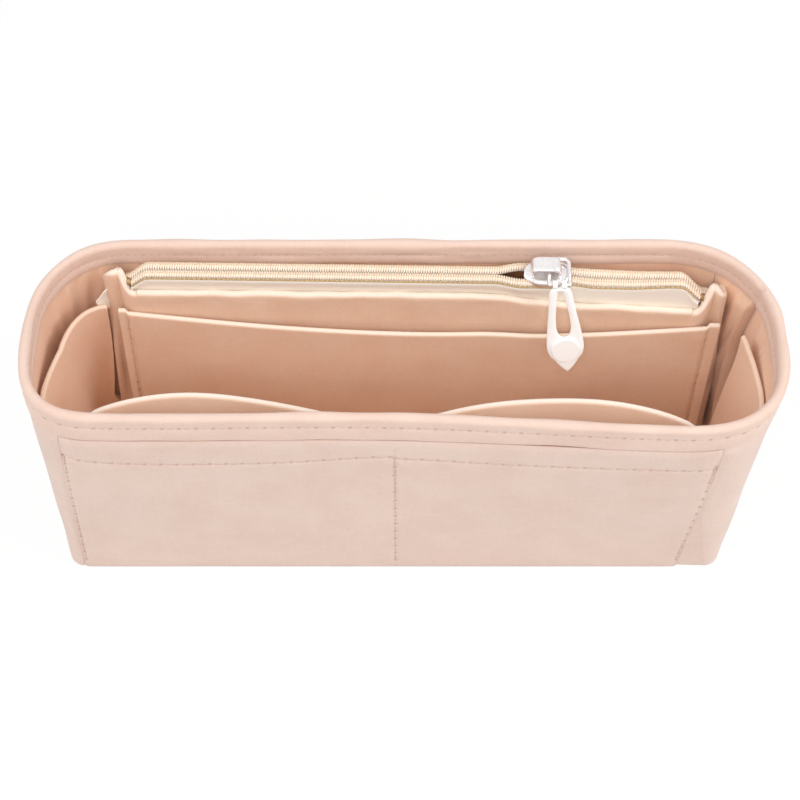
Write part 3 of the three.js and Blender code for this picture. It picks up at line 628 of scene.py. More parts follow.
def felt(name, colour, deep, edge, mottling=0.35, sheen=0.25):
    values = {"Colour": rgb(*colour), "Deep Colour": rgb(*deep), "Edge Colour": rgb(*edge), "Mottling": mottling}
    return material_from(name, FELT_FIBRES, values, FELT_BUMP, FELT_NAP,
                         Sheen_Weight=sheen, Sheen_Roughness=0.5, Specular_IOR_Level=0.2)


def woven(name, colour, gap, pitch, bump, height, **constants):
    values = {"Colour": rgb(*colour), "Gap Colour": rgb(*gap), "Thread Pitch": pitch}
    return material_from(name, FINE_WEAVE, values, bump, height, **constants)


def handled(name, colour, dull_colour, smooth_at, dull_at, bump, height, **constants):
    values = {"Colour": rgb(*colour), "Dull Colour": rgb(*dull_colour), "Smooth": smooth_at, "Dull": dull_at}
    return material_from(name, HANDLING_MARKS, values, bump, height, **constants)


FELT_OUTSIDE = felt("Felt outside", (240, 216, 203), (223, 191, 176), (222, 194, 180), 0.45)
# FELT_INSIDE, FELT_POUCH, FELT_END_POCKET and FELT_FLOOR are copies of the one felt, painted warmer and more saturated
# for the bounce light inside; FELT_FRONT_POCKET is painted paler still, a painted highlight that lifts its shade.
FELT_INSIDE = felt("Felt inside", (253, 221, 196), (246, 202, 172), (255, 238, 221), 0.7)
FELT_POUCH = felt("Felt pouch", (244, 216, 192), (237, 197, 169), (255, 236, 218), 0.7)
FELT_FRONT_POCKET = felt("Felt front pocket", (255, 231, 209), (251, 215, 188), (255, 239, 224), 0.6)
FELT_END_POCKET = felt("Felt end pocket", (253, 221, 196), (246, 202, 172), (252, 226, 204), 0.7)
FELT_BAND = felt("Felt rim band", (244, 217, 202), (230, 193, 175), (252, 232, 218), 0.45)
FELT_FLOOR = felt("Felt floor", (250, 208, 174), (238, 184, 146), (252, 224, 198))
GREY_BOARD = felt("Base board", (176, 160, 142), (146, 130, 112), (188, 172, 154), 0.6, 0.0)

THREAD = woven("Sewing thread", (220, 190, 176), (178, 142, 126), 0.5, 0.5, 0.1, Sheen_Weight=0.2,
               Specular_IOR_Level=0.35)
ZIP_TAPE = woven("Zip tape", (255, 250, 240), (255, 241, 222), 0.5, 0.35, 0.08, Sheen_Weight=0.15,
                 Specular_IOR_Level=0.3)
# The tape's underside is the same tape painted dark brown: painted shade.
ZIP_TAPE_SHADED_UNDERSIDE = woven("Zip tape underside painted shade", (176, 122, 82), (136, 88, 54), 0.5, 0.35, 0.08,
                           Specular_IOR_Level=0.2)
ZIP_COIL = handled("Zip coil nylon", (255, 238, 219), (248, 221, 192), 0.34, 0.5, 0.2, 0.05, Specular_IOR_Level=0.5)
ZIP_EDGE_CORD = woven("Zip edge cord", (206, 172, 112), (150, 112, 62), 0.6, 0.5, 0.1, Specular_IOR_Level=0.4)
SLIDER_METAL = handled("Plated slider", (244, 240, 240), (214, 208, 206), 0.12, 0.28, 0.1, 0.04, Metallic=0.75,
                       Specular_IOR_Level=0.7)
# The white pull glows faintly: painted light, to whiten it where it hangs in the felt's shade.
GLOWING_PULL_METAL = handled("White pull with painted glow", (252, 255, 255), (244, 246, 246), 0.2, 0.34, 0.1, 0.04, Specular_IOR_Level=0.8,
                     Coat_Weight=0.8, Coat_Roughness=0.06, Emission_Strength=0.12,
                     Emission_Color=(0.94, 1.0, 1.0, 1.0))
THREAD_ON_COIL = woven("Thread over the coil", (246, 224, 192), (214, 180, 132), 0.4, 0.4, 0.08,
                       Specular_IOR_Level=0.35)
BRASS = handled("Brass stop", (176, 146, 108), (118, 92, 64), 0.35, 0.5, 0.2, 0.05, Metallic=0.6)


# Shell

def column_grid(starts, ends, shares, heights, depth):
    """Points between two lines round the shell, given at each height, at a depth per point."""
    around = mix(starts[None, :], ends[None, :], shares[:, None])
    return inward(around, heights[None, :], depth(around, heights[None, :] + 0 * around))


LEAST_ROW_GAP = 0.3


def wall_rows(low, high, step, dense=()):
    """Heights from low to high, with closer ones round the given bands (low, high, step)."""
    rows = list(np.linspace(low, high, max(2, round((high - low) / step) + 1)))
    for start, end, fine in dense:
        rows += list(np.arange(start, end, fine))
    rows = sorted(r for r in rows if low <= r <= high)
    kept = [rows[0]]
    for r in rows[1:-1]:
        if min(r - kept[-1], rows[-1] - r) >= LEAST_ROW_GAP:
            kept.append(r)
    return np.array([*kept, rows[-1]])


def front_wall():
    heights = wall_rows(EDGE_ROUND, WALL_TOP - EDGE_ROUND, 4)
    starts = around_at_x(seam_left(heights) + 0.3, heights, 1)
    ends = around_at_x(seam_right(heights) - 0.3, heights, 1)
    shares = np.linspace(0, 1, 90)
    grids = [column_grid(starts, ends, shares, heights, lambda a, h, d=d: d + 0 * a) for d in (0, WALL_FELT)]
    felt_sheet("front_wall_felt", *grids, FELT_OUTSIDE, "felt_outside", "hung", ["front_wall"],
               ["base_panel_felt"], tight=True, back_material=FELT_INSIDE)


def back_wall():
    heights = wall_rows(EDGE_ROUND, WALL_TOP - EDGE_ROUND, 2.2)
    starts = around_at_x(BACK_SEAM_RIGHT - BACK_SEAM_GAP, heights, -1)
    ends = around_at_x(BACK_SEAM_LEFT + BACK_SEAM_GAP, heights, -1)
    shares = np.linspace(0, 1, 130)

    def face(depth):
        def at(around, height):
            place = inward(around, height, depth)
            slack = smooth(4, 30, height) * (1 - smooth(78, 88, height))
            return depth - slack * 0.35 * ripple(place, 60, 3)
        return at

    grids = [column_grid(starts, ends, shares, heights, face(d)) for d in (0.05, WALL_FELT)]
    felt_sheet("back_wall_felt", *grids, FELT_OUTSIDE, "felt_outside", "hung", ["back_wall"],
               ["base_panel_felt"], tight=True, back_material=FELT_INSIDE)


def end_wall(name, node, starts_at, ends_at, front_first):
    """A rounded end, flush with the outer pocket at the front seam and creased towards the back."""
    heights = wall_rows(EDGE_ROUND, WALL_TOP - EDGE_ROUND, 1.8)
    starts, ends = starts_at(heights), ends_at(heights)
    middle = len(heights) // 2
    fine = np.linspace(starts[middle] - 0.2, ends[middle] + 0.2, 2001)
    steps = np.linalg.norm(np.diff(shell_point(fine, heights[middle]), axis=0), axis=1)
    run = np.concatenate([[0], np.cumsum(steps)])
    first, last = np.interp([starts[middle], ends[middle]], fine, run)
    places = np.interp(np.linspace(first, last, 230), run, fine)
    shares = (places - starts[middle]) / (ends[middle] - starts[middle])
    shares = np.unique(np.round(np.concatenate([shares, np.linspace(0, 0.03, 8), np.linspace(0.97, 1, 8)]), 5))
    shares = shares[np.append(True, np.diff(shares) > 0.0012)]
    shares[-1] = 1.0

    def face(depth):
        def at(around, height):
            share = (around - starts[None, :]) / (ends - starts)[None, :]
            from_front = share if front_first else 1 - share
            place = inward(around, height, depth)
            flush = POCKET_STAND * (1 - smooth(0.02, 0.3, from_front)) * (1 - smooth(83.2, 84.9, height))
            flush = (flush - 0.4 * hump(from_front, 0, 0.012) * (flush > 0.1)) * (depth == 0)
            along = (np.interp(around, fine, run) - first) / (last - first)
            to_back = along if front_first else 1 - along
            waves = np.sin(to_back * 95 + 0.06 * height + 1.6 * ripple(place, 32, 9))
            creases = (0.36 if depth else 0.16) * waves * smooth(0.62, 0.78, to_back)
            creases = creases * smooth(35, 70, height) * (1 - smooth(84, 86.5, height))
            slack = smooth(3, 20, height) * (1 - smooth(76, 84, height))
            fold = fold_depth(around, height) if front_first and depth else 0
            return depth - flush + creases - 0.3 * slack * ripple(place, 45, 5) + fold
        return at

    grids = [column_grid(starts, ends, shares, heights, face(d)) for d in (0.0, WALL_FELT)]
    lowest = np.linalg.norm(grids[0][:, 0] - grids[1][:, 0], axis=-1) / 2 + 0.02
    for grid in grids:
        grid[:, 0, 2] = np.maximum(grid[:, 0, 2], lowest)
    # Painted shade on the right end's inner face: dark along the fold's crease and in a line beside the gusset.
    dark = None
    if front_first:
        around = mix(starts[None, :], ends[None, :], shares[:, None])
        dark = hump(from_fold_line(around, heights[None, :] + 0 * around), -1.0, 1.1) * smooth(14, 34, heights)
        across, deep = grids[1][..., 0], grids[1][..., 1]
        shade_beside_gusset = hump(across, 110.5 - 0.4 * smooth(62, 72, heights), 0.75) * (deep > 12)
        dark = np.maximum(dark, shade_beside_gusset * smooth(48, 53, heights) * (1 - smooth(75, 82, heights)))
    felt_sheet(name, *grids, FELT_OUTSIDE, "felt_outside", "hung", [node], ["base_panel_felt"], tight=True,
               creases=dark, back_material=FELT_INSIDE)


def fold_line(height):
    """Where the right end is creased on its inside, from the rim down to the side pocket's end."""
    return 2.78 + 0.52 * smooth(5, 72, height)


def from_fold_line(around, height):
    """Distance along the wall from the crease, towards the pouch."""
    line = fold_line(height)
    away = shell_point(around, height) - shell_point(line, height)
    return np.linalg.norm(away, axis=-1) * np.sign(around - line)


def fold_depth(around, height):
    """The crease, and the swollen strip between it and the pouch."""
    from_fold = from_fold_line(around, height)
    swollen = mix(2.2, 3.4, hump(height, 45, 26)) * smooth(0, 1.6, from_fold) * (1 - smooth(7, 17, from_fold))
    swollen = swollen * smooth(8, 35, height) * (1 - 0.8 * smooth(82, 86.5, height))
    return swollen - 1.15 * hump(from_fold, -0.6, 0.8) * smooth(10, 30, height)


def end_walls():
    end_wall("left_end_felt", "left_end_wall",
             lambda h: around_at_x(BACK_SEAM_LEFT - BACK_SEAM_GAP, h, -1),
             lambda h: around_at_x(seam_left(h) - 0.2, h, 1) + ONCE_ROUND, front_first=False)
    end_wall("right_end_felt", "right_end_wall",
             lambda h: around_at_x(seam_right(h) + 0.2, h, 1),
             lambda h: around_at_x(BACK_SEAM_RIGHT + BACK_SEAM_GAP, h, -1), front_first=True)


# Rim band, folded over the walls. Its row of stitches goes through both flaps.
BAND_ROW = 92.0
BAND_FELT = 0.6
BAND_MIDDLE = 0.7
BAND_CROWN = 1.55
THREAD_SUNK = 0.34
FINE_THREAD = 0.24
SEAM_THREAD = 0.26


def band_path():
    """Outer face of the folded band in section, from the outside flap's edge to the inside one's:
    depth, height, the direction out of the felt, and how far it is from the stitch row."""
    centre = SHELL_HEIGHT - BAND_CROWN
    outside = [85.35, 85.8, 86.5, 87.5, 88.6, 89.6, 90.4, 91.0, 91.4, 91.7, 92.0, 92.3, 92.6, 93.0, 93.6, 94.4, 95.1]
    rows = [(BAND_MIDDLE - BAND_CROWN, z, -1.0, 0.0, z - BAND_ROW) for z in outside]
    for angle in np.linspace(0, PI, 11):
        out = (-math.cos(angle), math.sin(angle))
        rows.append((BAND_MIDDLE + BAND_CROWN * out[0], centre + BAND_CROWN * out[1], *out, 9.0))
    inside = [z for z in reversed(outside) if z > BAND_BOTTOM_INSIDE + 0.6] + [BAND_BOTTOM_INSIDE + 0.35]
    rows += [(BAND_MIDDLE + BAND_CROWN, z, 1.0, 0.0, z - BAND_ROW) for z in inside]
    return np.array(rows)


def stitch_columns(height):
    """Places once round the shell, six to each stitch of the rim's row."""
    fine = np.linspace(0, ONCE_ROUND, 4001)
    points = shell_point(fine, height)
    run = np.concatenate([[0], np.cumsum(np.linalg.norm(np.diff(points, axis=0), axis=1))])
    stitches = round(run[-1] / STITCH_PITCH)
    return np.interp(stitch_lines(stitches)[:-1] * run[-1], run, fine), stitches


def rim_band():
    around, stitches = stitch_columns(BAND_ROW)
    along = (np.arange(stitches)[:, None] + IN_STITCH).ravel()[:, None]
    depth, height, out_depth, out_height, from_row = band_path().T
    place = inward(around[:, None], height[None, :], depth[None, :])
    dip = seam_dip(from_row[None, :], along, 0.16, 0.22, 0.8)
    puff = 0.12 * hump(height, 88.5, 2.6) + 0.12 * hump(height, 95.2, 2.4)
    pressed = np.where(out_depth > 0, 1 - smooth(87.3, 89.4, height), 0)
    uneven = 0.2 * ripple(place, 19, 8) * smooth(0, 2, np.abs(from_row))[None, :]
    dip = dip * np.where(out_depth > 0, 0.6, 1.0)[None, :]
    swell = puff[None, :] - dip + uneven - 0.35 * pressed[None, :]
    fold = 0.8 * hump(from_fold_line(around, 90 + 0 * around), 0, 1.0)[:, None] * (out_depth > 0)[None, :]
    swell = swell - fold
    front = inward(around[:, None], (height + out_height * swell), depth + out_depth * swell)
    front[..., 2] = height + out_height * swell
    back = inward(around[:, None], height[None, :], (depth - out_depth * (BAND_FELT + 0.15 * pressed))[None, :])
    back[..., 2] = height - out_height * BAND_FELT
    # Painted shade at the needle holes, weaker on the inside flap.
    felt_sheet("rim_band_felt", front, back, FELT_BAND, "felt_outside", "folded", ["rim_binding"],
               ["front_wall_felt", "back_wall_felt"], closed=True,
               holes=stitch_hole_shade(from_row[None, :], along) * np.where(out_depth > 0, 0.4, 1.0)[None, :])
    for name, sign, depth_at in (("outside", -1, BAND_MIDDLE - BAND_CROWN + THREAD_SUNK),
                                 ("inside", 1, BAND_MIDDLE + BAND_CROWN - THREAD_SUNK)):
        needles = inward(around[::len(IN_STITCH)], BAND_ROW, depth_at)
        needles = np.vstack([needles, needles[:1]])
        further = inward(around[::len(IN_STITCH)], BAND_ROW, depth_at + sign)
        outs = np.vstack([further, further[:1]]) - needles
        thread_row(f"rim_stitches_{name}", needles, outs, THREAD, radius=FINE_THREAD, rise=0.1, sink=0.3)


# Outer pocket over the front, with a hem row and three upright seams
POCKET_TOP = BAND_BOTTOM_OUTSIDE - 0.1
POCKET_FELT = 1.1
SEAM_STITCH = 0.8


def hem_row(x):
    """Height of the hem's stitches: they rise towards the middle seam."""
    left = 71.2 + 4.2 * hump(x, 0, 26) + 2.4 * hump(x, -108, 16)
    right = 72.6 + 1.7 * hump(x, 0, 24)
    return np.where(x < 0, left, right)


FRONT_WIDTH = 207
MIDDLE_SEAM = 0.518  # where the middle seam is, as a share of the front


def outer_pocket():
    stitches = round(FRONT_WIDTH / STITCH_PITCH)
    lines = stitch_lines(stitches)
    near = np.array([-2.6, -1.7, -1.1, -0.6, -0.3, 0, 0.3, 0.6, 1.1, 1.7, 2.6]) / FRONT_WIDTH
    edges = np.array([0, 0.25, 0.55, 0.8, 1.1, 1.5, 2.2]) / FRONT_WIDTH
    plain = lines[(np.abs(lines - MIDDLE_SEAM) > 0.014) & (lines > 0.012) & (lines < 0.988)]
    shares = np.unique(np.round(np.concatenate([plain, near + MIDDLE_SEAM, edges, 1 - edges]), 6))
    upright = round(POCKET_TOP / STITCH_PITCH)
    rows = wall_rows(0.55, POCKET_TOP - 0.55, 3, [(69, 79, 0.45)])
    rows = np.array(sorted(set(rows) | {z for z in stitch_lines(upright) * POCKET_TOP if 2 < z < 69}))
    rows = rows[np.append(True, np.diff(rows) > 0.25)]
    x = mix(seam_left(rows)[None, :] + 0.2, seam_right(rows)[None, :] - 0.2, shares[:, None])
    around = around_at_x(x, rows[None, :], 1)
    height = rows[None, :] + 0 * x
    along_hem = shares[:, None] * stitches + 0 * x
    along_seam = height / POCKET_TOP * upright
    hem = seam_dip(height - hem_row(x), along_hem, 0.26, 0.3, 0.8)
    # Painted shade at the needle holes of the hem and the upright seams.
    holes = stitch_hole_shade(height - hem_row(x), along_hem)
    seams = np.zeros_like(x)
    for line in (seam_left(height) + SEAM_STITCH, 0 * x, seam_right(height) - SEAM_STITCH):
        seams = np.maximum(seams, seam_dip(x - line, along_seam, 0.4, 0.25, 0.9))
        holes = np.maximum(holes, stitch_hole_shade(x - line, along_seam) * (height < 80))
    seams = seams * (1 - smooth(79, 82, height)) * smooth(0, 3, height)
    ends = hump(x, seam_left(height), 1.0) + hump(x, seam_right(height), 1.0)
    seams = np.maximum(seams, 0.4 * ends)
    place = inward(around, height, -POCKET_STAND)
    slack = 0.35 * ripple(place, 55, 11) * smooth(2, 14, height) * (1 - smooth(60, 72, height))
    line_from_corner = (height - 2.2) - (x + 88) * -0.09
    crease = 0.3 * hump(line_from_corner, 1.2, 1.1) * hump(x, -86, 14)
    dip = hem + seams - slack + crease + 0.38 * hump(height, POCKET_TOP, 2.2)
    front = inward(around, height, -POCKET_STAND + dip)
    back = inward(around, height, -POCKET_STAND + POCKET_FELT + 0 * x)
    felt_sheet("outer_pocket_felt", front, back, FELT_OUTSIDE, "felt_outside", "stretched",
               ["outer_pocket"], ["front_wall_felt"], tight=True, holes=holes)

    def run(name, xs, zs, radius, rise, sink, depth):
        places = around_at_x(xs, zs, 1)
        needles = inward(places, zs, -POCKET_STAND + depth)
        outs = needles - inward(places, zs, -POCKET_STAND + depth + 1)
        thread_row(name, needles, outs, THREAD, radius=radius, rise=rise, sink=sink)

    hem_xs = mix(seam_left(72.0) + 0.7, seam_right(72.0) - 0.7, np.arange(1, stitches) / stitches)
    run("pocket_hem_stitches", hem_xs, hem_row(hem_xs), SEAM_THREAD, 0.1, 0.3, 0.36)
    seam_zs = np.arange(1, upright - 1) / upright * POCKET_TOP
    run("left_seam_stitches", seam_left(seam_zs) + SEAM_STITCH, seam_zs, SEAM_THREAD, 0.08, 0.3, 0.45)
    run("middle_seam_stitches", 0 * seam_zs, seam_zs, 0.3, 0.14, 0.25, 0.42)
    run("right_seam_stitches", seam_right(seam_zs) - SEAM_STITCH, seam_zs, SEAM_THREAD, 0.08, 0.3, 0.45)


# Bottom: felt, board and lining, each inside the walls.
FLOOR_TUCK = 0.4
LINING_BOTTOM = 3.6
LINING_TOP = 4.8



def floor_layer(name, node, low, high, material, slot):
    side_steps = [6, 10, 4, 10, 6, 10, 4, 10]
    around = np.concatenate([side + np.arange(n) / n for side, n in enumerate(side_steps)])
    rise = (low + high) / 2
    rim = inward(around, rise, WALL_FELT - FLOOR_TUCK)[:, :2]
    centre = rim * [0.72, 0.0]
    rings = [mix(rim, centre, s) for s in (0.0, 0.012, 0.03, 0.12, 0.3, 0.5, 0.7, 0.85, 0.96)]
    drops = [0.45, 0.12, 0.0, 0, 0, 0, 0, 0, 0]
    count = len(around)
    half = (high - low) / 2
    points = []
    for sign, order in ((1, range(len(rings) - 1, -1, -1)), (-1, range(len(rings)))):
        for k in order:
            z = rise + sign * half * (1 - drops[k])
            points.append(np.column_stack([rings[k], np.full(count, z)]))
    points = np.vstack(points)
    faces = tube_faces(2 * len(rings), count)
    piece = make_piece(name, points, faces, material, slot=slot)
    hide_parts(node)


def bottom():
    floor_layer("base_panel_felt", "base_panel", 0.0, WALL_FELT, FELT_OUTSIDE, "felt_outside")
    floor_layer("base_lining_felt", "base_lining", LINING_BOTTOM, LINING_TOP, FELT_FLOOR, "felt_inside")
    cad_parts["base_board"].data.materials.clear()
    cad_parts["base_board"].data.materials.append(GREY_BOARD)


# Inner pockets
INNER_FELT = 1.8
FRONT_POCKET_BELOW_BAND = 4
SIDE_POCKET_BELOW_BAND = 9


def front_inner_pocket():
    top = BAND_BOTTOM_INSIDE - FRONT_POCKET_BELOW_BAND
    heights = wall_rows(FLOOR_TOP + EDGE_ROUND, top - EDGE_ROUND, 3.2, [(top - 4, top, 0.9)])
    gape = {-1: 15.2, 1: 15.4}
    power = {-1: 1.7, 1: 1.25}
    xs = np.unique(np.concatenate([np.linspace(-1, 1, 150), np.linspace(-0.06, 0.06, 13)]))
    seam = np.where(xs[:, None] < 0, seam_left(heights)[None, :] + 3, seam_right(heights)[None, :] - 3)
    x = np.abs(xs)[:, None] * seam
    share = np.abs(xs)[:, None] + 0 * x
    side = np.where(xs < 0, -1, 1)[:, None] + 0 * share
    skew = share ** np.where(side < 0, power[-1], power[1])
    arc = np.sqrt(np.clip(np.sin(PI * skew), 0, 1))
    rise = mix(0.12, 1, (heights[None, :] - FLOOR_TOP) / (top - FLOOR_TOP))
    out = WALL_FELT + SEAT + np.where(side < 0, gape[-1], gape[1]) * arc * rise
    around = around_at_x(x, heights[None, :], 1)
    height = heights[None, :] + 0 * x
    place = inward(around, height, out)
    wave = 0.4 * arc * ripple(place, 38, 21)
    front = inward(around, height, out + wave + INNER_FELT)
    back = inward(around, height, out + wave)
    felt_sheet("front_inner_pocket_felt", front, back, FELT_FRONT_POCKET, "felt_inside", "hung",
               ["front_inner_pocket"], ["front_wall_felt"])


def side_pocket(name, node, start_at, end, gape):
    top = BAND_BOTTOM_INSIDE - SIDE_POCKET_BELOW_BAND
    heights = wall_rows(FLOOR_TOP + EDGE_ROUND, top - EDGE_ROUND, 3, [(top - 4, top, 0.9)])
    starts = start_at(heights)
    shares = np.linspace(0, 1, 110)
    around = mix(starts[None, :], end(heights)[None, :], shares[:, None])
    height = heights[None, :] + 0 * around
    rise = (height - FLOOR_TOP) / (top - FLOOR_TOP)
    out = WALL_FELT + SEAT + gape * shares[:, None] ** 1.8 * mix(0.15, 1, rise)
    place = inward(around, height, out)
    wave = 0.3 * ripple(place, 30, 23) * np.sin(PI * shares)[:, None]
    front = inward(around, height, out + wave + INNER_FELT)
    back = inward(around, height, out + wave)
    wall = node.split("_")[0] + "_end_felt"
    felt_sheet(name, front, back, FELT_END_POCKET, "felt_inside", "hung", [node], [wall], tight=True)


def side_pockets():
    side_pocket("left_side_pocket_felt", "left_side_pocket",
                lambda h: around_at_x(seam_left(h) - 1.5, h, 1) + ONCE_ROUND, lambda h: 4.95 + 0.3 * h / 78, 8.6)
    side_pocket("right_side_pocket_felt", "right_side_pocket",
                lambda h: around_at_x(seam_right(h) + 1.5, h, 1),
                lambda h: 2.77 + 0.37 * np.clip((h - 20) / 58, 0, 1) ** 1.35, 3.3)


# Pouch
RIM_BACK = 34.6
BINDING_FELT = 0.7
PANEL_INSET = 2.2


def zip_line(x):
    back = RIM_BACK - BAND_STAND - 2 * WALL_FELT - BINDING_FELT - POUCH_BACK_STAND
    return back - (x - POUCH_LEFT) * ZIP_LEAN


def pouch_front(x):
    """Outer face of the pouch's front and its top edge, with soft bends at the corners."""
    spread = np.linspace(-5, 5, 11)
    stand = np.mean([np.interp(x + s, POUCH_BENDS, POUCH_FRONT_STANDS) for s in spread], axis=0)
    top = np.mean([np.interp(x + s, POUCH_BENDS, POUCH_FRONT_TOPS) for s in spread], axis=0)
    return zip_line(x) - stand, top


PANEL_FELT = 2.6


def pouch_panels():
    x = np.linspace(POUCH_LEFT + PANEL_INSET, POUCH_RIGHT - PANEL_INSET, 150)[:, None]
    rise = np.concatenate([np.linspace(0, 0.9, 22), [0.94, 0.97, 0.985, 1.0]])[None, :]
    face, top = pouch_front(x)
    height = mix(FLOOR_TOP + 1.0, top - 0.35, rise)
    place = points_at(x, face, height)
    wave = 0.45 * ripple(place, 42, 31) * np.sin(PI * rise) + 0.25 * ripple(place, 14, 32) * smooth(0.9, 1, rise)
    wave = wave * smooth(0, 12, x - POUCH_LEFT - 2) * smooth(0, 12, POUCH_RIGHT - 2 - x)
    front = place + np.stack([0 * wave, wave, 0 * wave], axis=-1)
    back = front + [0, PANEL_FELT, 0]
    felt_sheet("pouch_front_felt", front, back, FELT_POUCH, "felt_inside", "hung", ["pouch_front_panel"],
               ["zip_tape_front_woven"], tight=True)
    x = np.linspace(POUCH_LEFT - 1.5, POUCH_RIGHT + 3.0, 150)[:, None]
    height = mix(FLOOR_TOP + 0.8, POUCH_BACK_TOP - 0.8 - corner_dip(x), rise)
    face = zip_line(x) + POUCH_BACK_STAND
    place = points_at(x, face, height)
    felt_sheet("pouch_back_felt", place, place + [0, WALL_FELT, 0], FELT_INSIDE, "felt_inside", "hung",
               ["pouch_back_panel"], ["zip_tape_rear_woven"])
    x = np.linspace(POUCH_LEFT + 2, POUCH_RIGHT - 2, 80)[:, None]
    across = np.linspace(0, 1, 10)[None, :]
    y = mix(pouch_front(x)[0] + PANEL_FELT + 0.9, zip_line(x) + POUCH_BACK_STAND - 0.9, across)
    low = points_at(x, y, FLOOR_TOP)
    felt_sheet("pouch_bottom_felt", low + [0, 0, WALL_FELT], low, FELT_INSIDE, "felt_inside", "laid",
               ["pouch_bottom"], ["base_lining_felt"])


SLIP_FELT = 1.8
SLIP_GAP = 0.2


def slip_pocket():
    """Each end is a flat strip beyond an upright seam; the mouth sags between the seams."""
    ends = [np.linspace(0.004, 0.016, 5), np.linspace(0.0165, 0.044, 16), np.linspace(0.05, 0.95, 110)]
    t = np.concatenate([*ends, 1 - ends[1][::-1], 1 - ends[0][::-1]])[:, None]
    rise = np.concatenate([np.linspace(0, 0.92, 40), [0.95, 0.975, 0.99, 1.0]])[None, :]
    left = POUCH_LEFT - mix(8.4, 5.6, rise)
    right = POUCH_RIGHT + mix(9.6, 8.2, rise)
    x = mix(left, right, t)
    arc = np.sin(PI * np.clip((t - 0.02) / 0.96, 0, 1))
    from_left, from_right = x - left - 3.4, right - 4.4 - x
    in_strip = 1 - smooth(-0.7, 0.4, from_left) * smooth(-0.7, 0.4, from_right)
    top = ZIP_HEIGHT - mix(13.8, 15.8, t) - 5 * arc
    height = mix(FLOOR_TOP + 0.9, top - 0.9, rise) + 1.3 * in_strip * rise
    near = pouch_front(np.clip(x, POUCH_LEFT, POUCH_RIGHT))[0] + (np.maximum(x - POUCH_RIGHT, 0)) * -ZIP_LEAN
    along = height / STITCH_PITCH
    seam = seam_dip(from_left, along, 0.7, 0.3, 0.7) + seam_dip(from_right, along, 0.7, 0.3, 0.7)
    # Painted shade at the needle holes of the end seams.
    holes = stitch_hole_shade(from_left, along) + stitch_hole_shade(from_right, along)
    place = points_at(x, near - 3 * arc * rise, height)
    wave = 0.5 * ripple(place, 46, 41) * np.sin(PI * np.clip(rise, 0, 0.95)) * (0.25 + 0.75 * arc)
    y = place[..., 1] + wave + 0.35 * in_strip
    front = np.stack([x, y - SLIP_GAP - SLIP_FELT + seam * (1 - 0.5 * smooth(0.95, 1, rise)), height], axis=-1)
    back = np.stack([x, y - SLIP_GAP, height], axis=-1)
    felt_sheet("pouch_slip_pocket_felt", front, back, FELT_POUCH, "felt_inside", "hung",
               ["pouch_slip_pocket"], ["pouch_front_felt"], tight=True, holes=holes)
    for name, from_seam in (("left", from_left), ("right", from_right)):
        side = slice(0, 30) if name == "left" else slice(-30, None)
        middle = (front + back)[side] / 2
        order = np.abs(from_seam[side]).argmin(axis=0)
        line = middle[order, np.arange(len(order))]
        zs = np.arange(math.ceil(line[0, 2] / STITCH_PITCH), math.floor(line[-1, 2] / STITCH_PITCH) + 1) * STITCH_PITCH
        needles = np.column_stack([np.interp(zs, line[:, 2], line[:, k]) for k in (0, 1, 2)]) - [0, 0.45, 0]
        thread_row(f"slip_pocket_stitches_{name}", needles, np.tile([0.0, -1.0, 0.0], (len(zs), 1)), THREAD,
                   slot="felt_inside", radius=FINE_THREAD, rise=0.12, sink=0.25)


def rounded_path(points, passes=3):
    """A broken line with its bends rounded off, its ends kept."""
    path = np.asarray(points, float)
    for _ in range(passes):
        near = mix(path[:-1], path[1:], 0.25)
        far = mix(path[:-1], path[1:], 0.75)
        inner = np.stack([near, far], axis=1).reshape(-1, path.shape[1])
        path = np.vstack([path[:1], inner[1:-1], path[-1:]])
    return path


def folded_strip(name, node, corners_at, low, thickness, material, slot, nodes_below, groove):
    """An upright strip with soft folds. corners_at gives (x, y, top) of each fold at a height share, and
    groove the painted shade in its folds, from x and z."""
    rises = np.concatenate([np.linspace(0, 0.92, 20), [0.95, 0.975, 1.0]])
    columns = []
    for rise in rises:
        path = rounded_path(corners_at(rise), 2)
        columns.append(np.column_stack([path[:, :2], mix(low + thickness / 2, path[:, 2] - thickness / 2, rise)]))
    middle = np.array(columns).swapaxes(0, 1)
    # Painted shade in the folds, laid on both faces.
    dark = groove(middle[..., 0], middle[..., 2])
    felt_sheet(name, *upright_faces(middle, thickness), material, slot, "folded", [node], nodes_below, holes=dark,
               creases=dark)


